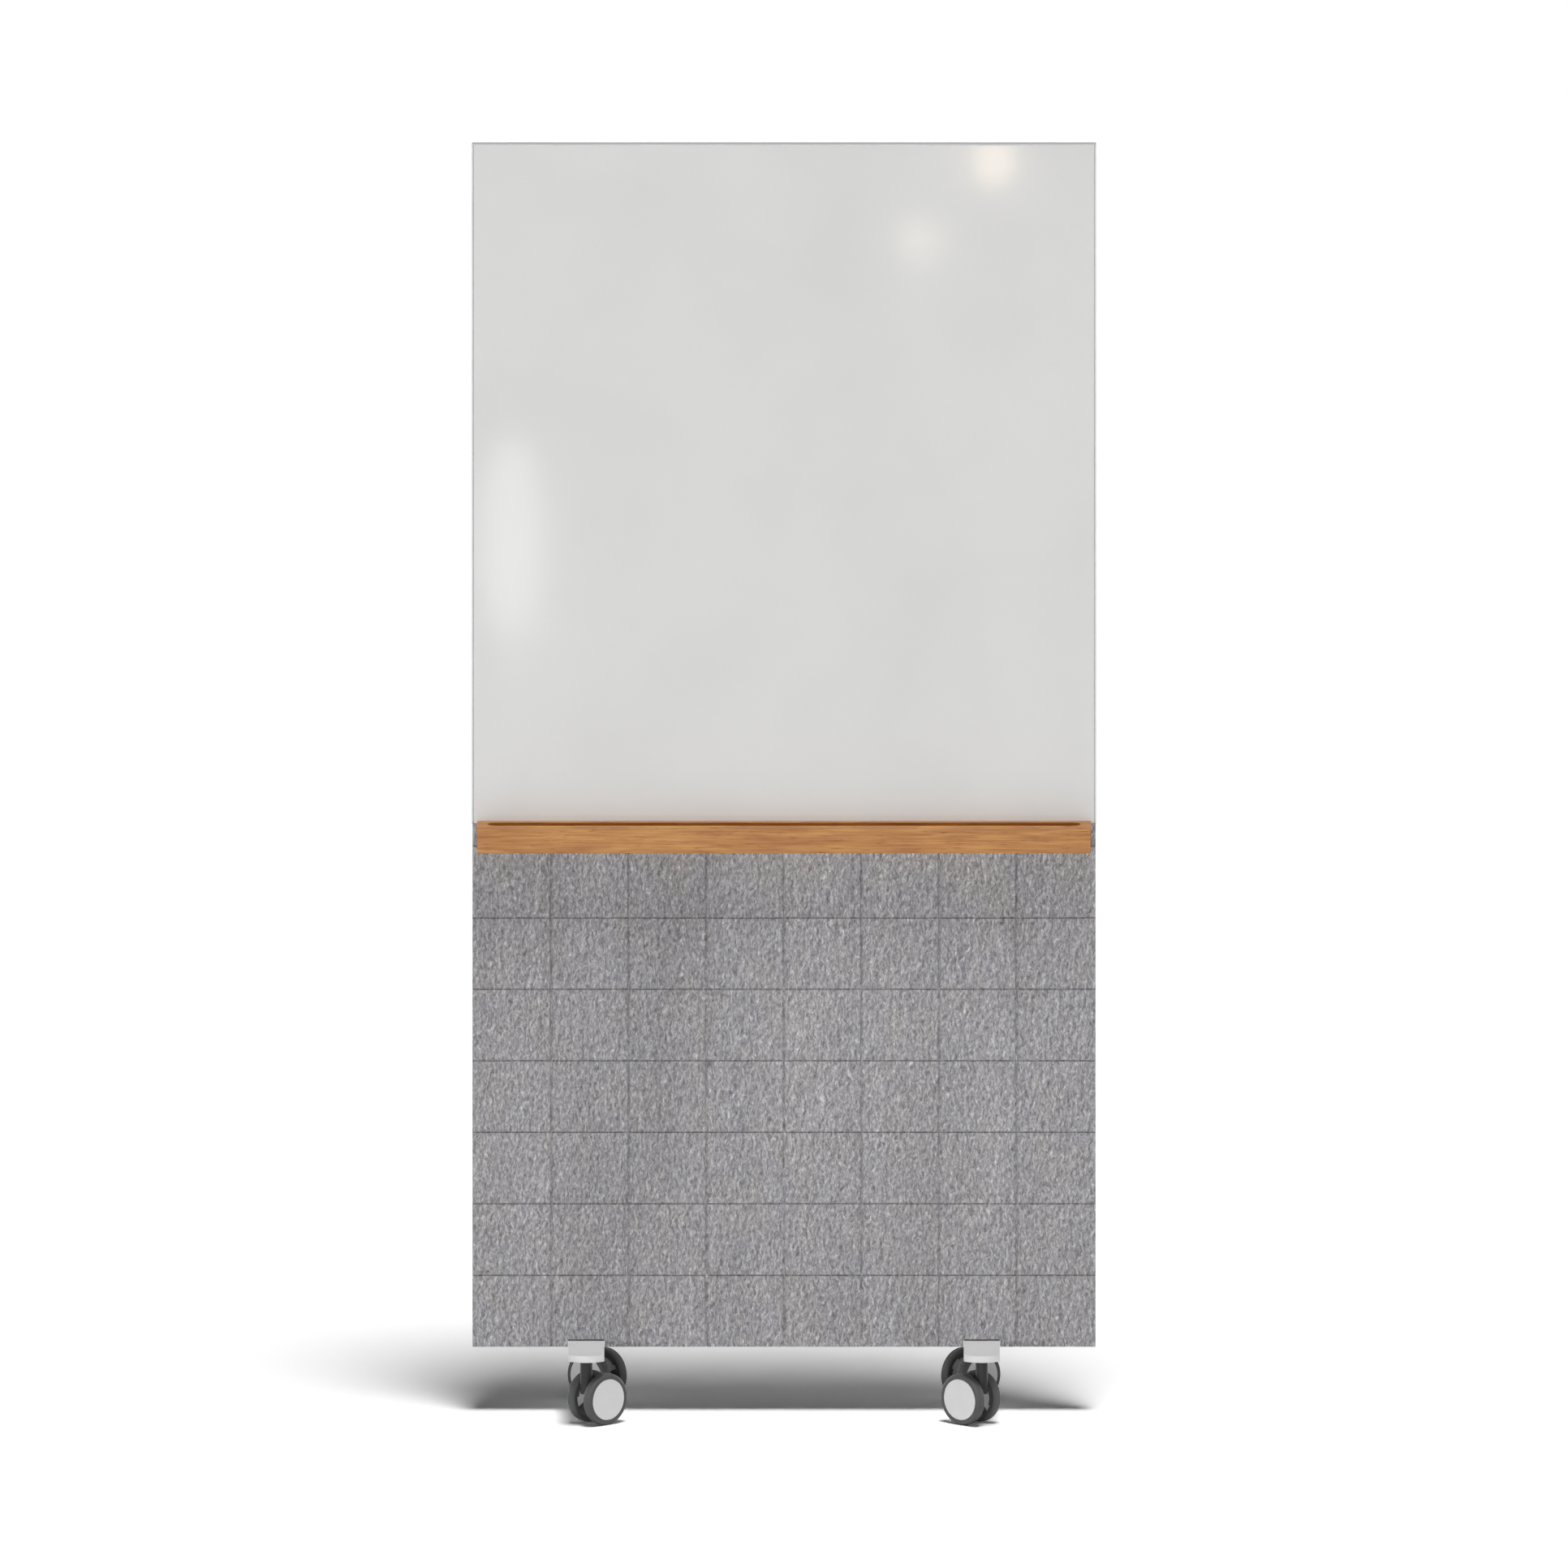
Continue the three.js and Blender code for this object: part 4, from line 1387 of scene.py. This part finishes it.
@dataclass
class InnerFrame:
    """The aluminium frame and core that the skins hide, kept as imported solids."""

    palette: Palette

    def build(self, nodes: dict[str, Piece]) -> None:
        """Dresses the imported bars, cores and ledge screws.

        Args:
            nodes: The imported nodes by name.
        """
        bars = ("left_stile", "right_stile", "top_rail", "mid_rail", "bottom_rail")
        screws = ("ledge_screw_left", "ledge_screw_middle", "ledge_screw_right")
        cores = ("upper_core", "lower_core")
        for names, finish in ((bars, self.palette.frame), (cores, self.palette.core),
                              (screws, self.palette.bolt)):
            for name in names:
                self.dress(nodes[name], finish)

    def dress(self, node: Piece, finish: Finish) -> None:
        """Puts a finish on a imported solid.

        Args:
            node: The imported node.
            finish: Its finish.
        """
        if not node.data.materials:
            node.data.materials.append(finish.material())
        for slot in node.material_slots:
            slot.material = finish.material()
        LOG.info("%s: dressed as %s", node.name, finish.name)


@dataclass(frozen=True)
class Spot:
    """A small lamp of the room that shows as a glow in the polished board."""

    name: str
    place: Triple
    width: float
    height: float
    power: float
    colour: str


@dataclass(frozen=True)
class Sun:
    """A far lamp: the way its light comes from, how wide it looks, and its strength."""

    name: str
    comes_from: Triple
    spread: float
    strength: float


@dataclass
class Studio:
    """A white floor, a soft lamp above, low lamps all round, and the camera."""

    tilt: float = 10.9
    aim: float = 921 * MM
    frame_width: float = 2.26
    distance: float = 6.0
    floor_size: float = 60.0
    floor_colour: str = "#F4F4F4"
    floor_seen: float = 1.27
    sky_strength: float = 0.02
    band_strength: float = 0.6
    band_top: float = 0.16
    bright_way: Triple = (-0.2, -0.98, 0.0)
    dim_share: float = 0.7
    # The fills come in just above the floor: they light what stands up, and leave the shadow dark.
    lamps: tuple[Sun, ...] = (
        Sun("overhead_light", (0.09, -0.24, 1.0), 18, 2.4),
        Sun("front_fill", (0.0, -1.0, 0.025), 6, 0.65),
        Sun("left_fill", (-0.6, -0.8, 0.025), 6, 0.8),
        Sun("rear_fill_left", (-0.7, 0.71, 0.025), 6, 1.08),
        Sun("rear_fill_right", (0.7, 0.71, 0.025), 6, 1.08))
    glows: tuple[Spot, ...] = (
        Spot("ceiling_glow_right", (0.303, -3.0, 1.263), 0.055, 0.075, 0.118, "#FFE6C4"),
        Spot("ceiling_glow_middle", (0.196, -3.0, 1.144), 0.06, 0.06, 0.048, "#FFF0D8"),
        Spot("window_glow", (-0.392, -3.0, 0.705), 0.09, 0.31, 0.27, "#FFFFFF"))

    def build(self) -> None:
        """Sets up everything that isn't part of the whiteboard."""
        scene = bpy.context.scene
        scene.view_settings.view_transform = "Standard"
        self.camera(scene)
        self.floor()
        self.sky(scene)
        for lamp in self.lamps:
            self.sun(lamp)
        for spot in self.glows:
            self.glow(spot)

    def camera(self, scene: bpy.types.Scene) -> None:
        """A camera without perspective, tipped down at the photograph's angle.

        Args:
            scene: The scene that gets the camera.
        """
        data = bpy.data.cameras.new("front_camera")
        data.type = "ORTHO"
        data.ortho_scale = self.frame_width
        tilt = math.radians(self.tilt)
        camera = bpy.data.objects.new("front_camera", data)
        camera.location = (0, -self.distance * math.cos(tilt),
                           self.aim + self.distance * math.sin(tilt))
        camera.rotation_euler = (math.pi / 2 - tilt, 0, 0)
        scene.collection.objects.link(camera)
        scene.camera = camera

    def floor(self) -> None:
        """A white floor for the shadow, which looks whiter to the camera than to the object."""
        clear_selection()
        bpy.ops.mesh.primitive_plane_add(size=self.floor_size)
        floor = bpy.context.object
        floor.name = "floor"
        made = bpy.data.materials.new("matt_white_paper")
        made.use_nodes = True
        tree = made.node_tree
        tree.nodes.clear()
        paper = add_node(tree, "ShaderNodeBsdfDiffuse", {"Color": linear(self.floor_colour)})
        seen = add_node(tree, "ShaderNodeBsdfDiffuse", {"Color": (self.floor_seen,) * 3 + (1.0,)})
        both = add_node(tree, "ShaderNodeMixShader",
                        {0: self.seen(tree), 1: paper.outputs[0], 2: seen.outputs[0]})
        add_node(tree, "ShaderNodeOutputMaterial", {"Surface": both.outputs[0]})
        floor.data.materials.append(made)

    def seen(self, tree: Tree) -> Socket:
        """1 for rays from the camera, off metal and through glass, and 0 for light on surfaces.

        Args:
            tree: The node tree that asks.

        Returns:
            The socket of the 1 or 0.
        """
        path = add_node(tree, "ShaderNodeLightPath")
        total = path.outputs["Is Camera Ray"]
        for name in ("Is Glossy Ray", "Is Transmission Ray"):
            total = add_node(tree, "ShaderNodeMath", {0: total, 1: path.outputs[name]},
                             operation="MAXIMUM").outputs[0]
        return total

    def sky(self, scene: bpy.types.Scene) -> None:
        """Soft light in a low band all round, brighter in front; white where it is seen.

        Args:
            scene: The scene that gets the sky.
        """
        world = bpy.data.worlds.new("studio_walls")
        world.use_nodes = True
        tree = world.node_tree
        tree.nodes.clear()
        way = add_node(tree, "ShaderNodeTexCoord").outputs["Generated"]
        facing = add_node(tree, "ShaderNodeVectorMath", {0: way, 1: self.bright_way},
                          operation="DOT_PRODUCT")
        front = add_node(tree, "ShaderNodeMapRange", {
            "Value": facing.outputs["Value"], "From Min": -1.0, "To Min": self.dim_share})
        height = add_node(tree, "ShaderNodeSeparateXYZ", {"Vector": way})
        band = add_node(tree, "ShaderNodeMapRange", {
            "Value": height.outputs["Z"],
            "From Min": 0.5 * self.band_top, "From Max": 1.5 * self.band_top,
            "To Min": self.band_strength, "To Max": self.sky_strength},
            interpolation_type="SMOOTHSTEP")
        level = add_node(tree, "ShaderNodeMath",
                         {0: front.outputs["Result"], 1: band.outputs["Result"]},
                         operation="MULTIPLY")
        light = add_node(tree, "ShaderNodeBackground", {"Strength": level.outputs[0]})
        white = add_node(tree, "ShaderNodeBackground", {"Strength": 1.0})
        for shader in (light, white):
            shader.inputs["Color"].default_value = linear("#FFFFFF")
        mixed = add_node(tree, "ShaderNodeMixShader",
                         {0: self.seen(tree), 1: light.outputs[0], 2: white.outputs[0]})
        add_node(tree, "ShaderNodeOutputWorld", {"Surface": mixed.outputs[0]})
        scene.world = world

    def sun(self, lamp: Sun) -> None:
        """Adds a far lamp.

        Args:
            lamp: What it is like.
        """
        data = bpy.data.lights.new(lamp.name, "SUN")
        data.energy = lamp.strength
        data.angle = math.radians(lamp.spread)
        light = bpy.data.objects.new(lamp.name, data)
        light.rotation_euler = Vector(lamp.comes_from).to_track_quat("Z", "Y").to_euler()
        bpy.context.scene.collection.objects.link(light)

    def glow(self, spot: Spot) -> None:
        """A small weak lamp, for its reflection alone.

        Args:
            spot: What it is like.
        """
        data = bpy.data.lights.new(spot.name, "AREA")
        data.shape = "ELLIPSE"
        data.size = spot.width
        data.size_y = spot.height
        data.energy = spot.power
        data.color = linear(spot.colour)[:3]
        lamp = bpy.data.objects.new(spot.name, data)
        lamp.location = spot.place
        lamp.rotation_euler = (math.pi / 2, 0, 0)
        lamp.visible_camera = False
        bpy.context.scene.collection.objects.link(lamp)


def main() -> None:
    """Builds the whiteboard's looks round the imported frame, and the studio round it."""
    logging.basicConfig(level=logging.INFO, format="%(name)s: %(message)s")
    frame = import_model()
    palette = Palette()
    Skins(palette).build()
    EdgeStrips(palette).build()
    Ledge(palette).build()
    Feet(palette).build()
    Castors(palette).build()
    InnerFrame(palette).build(frame["nodes"])
    Studio().build()
    clear_selection()


if __name__ == "__main__":
    main()
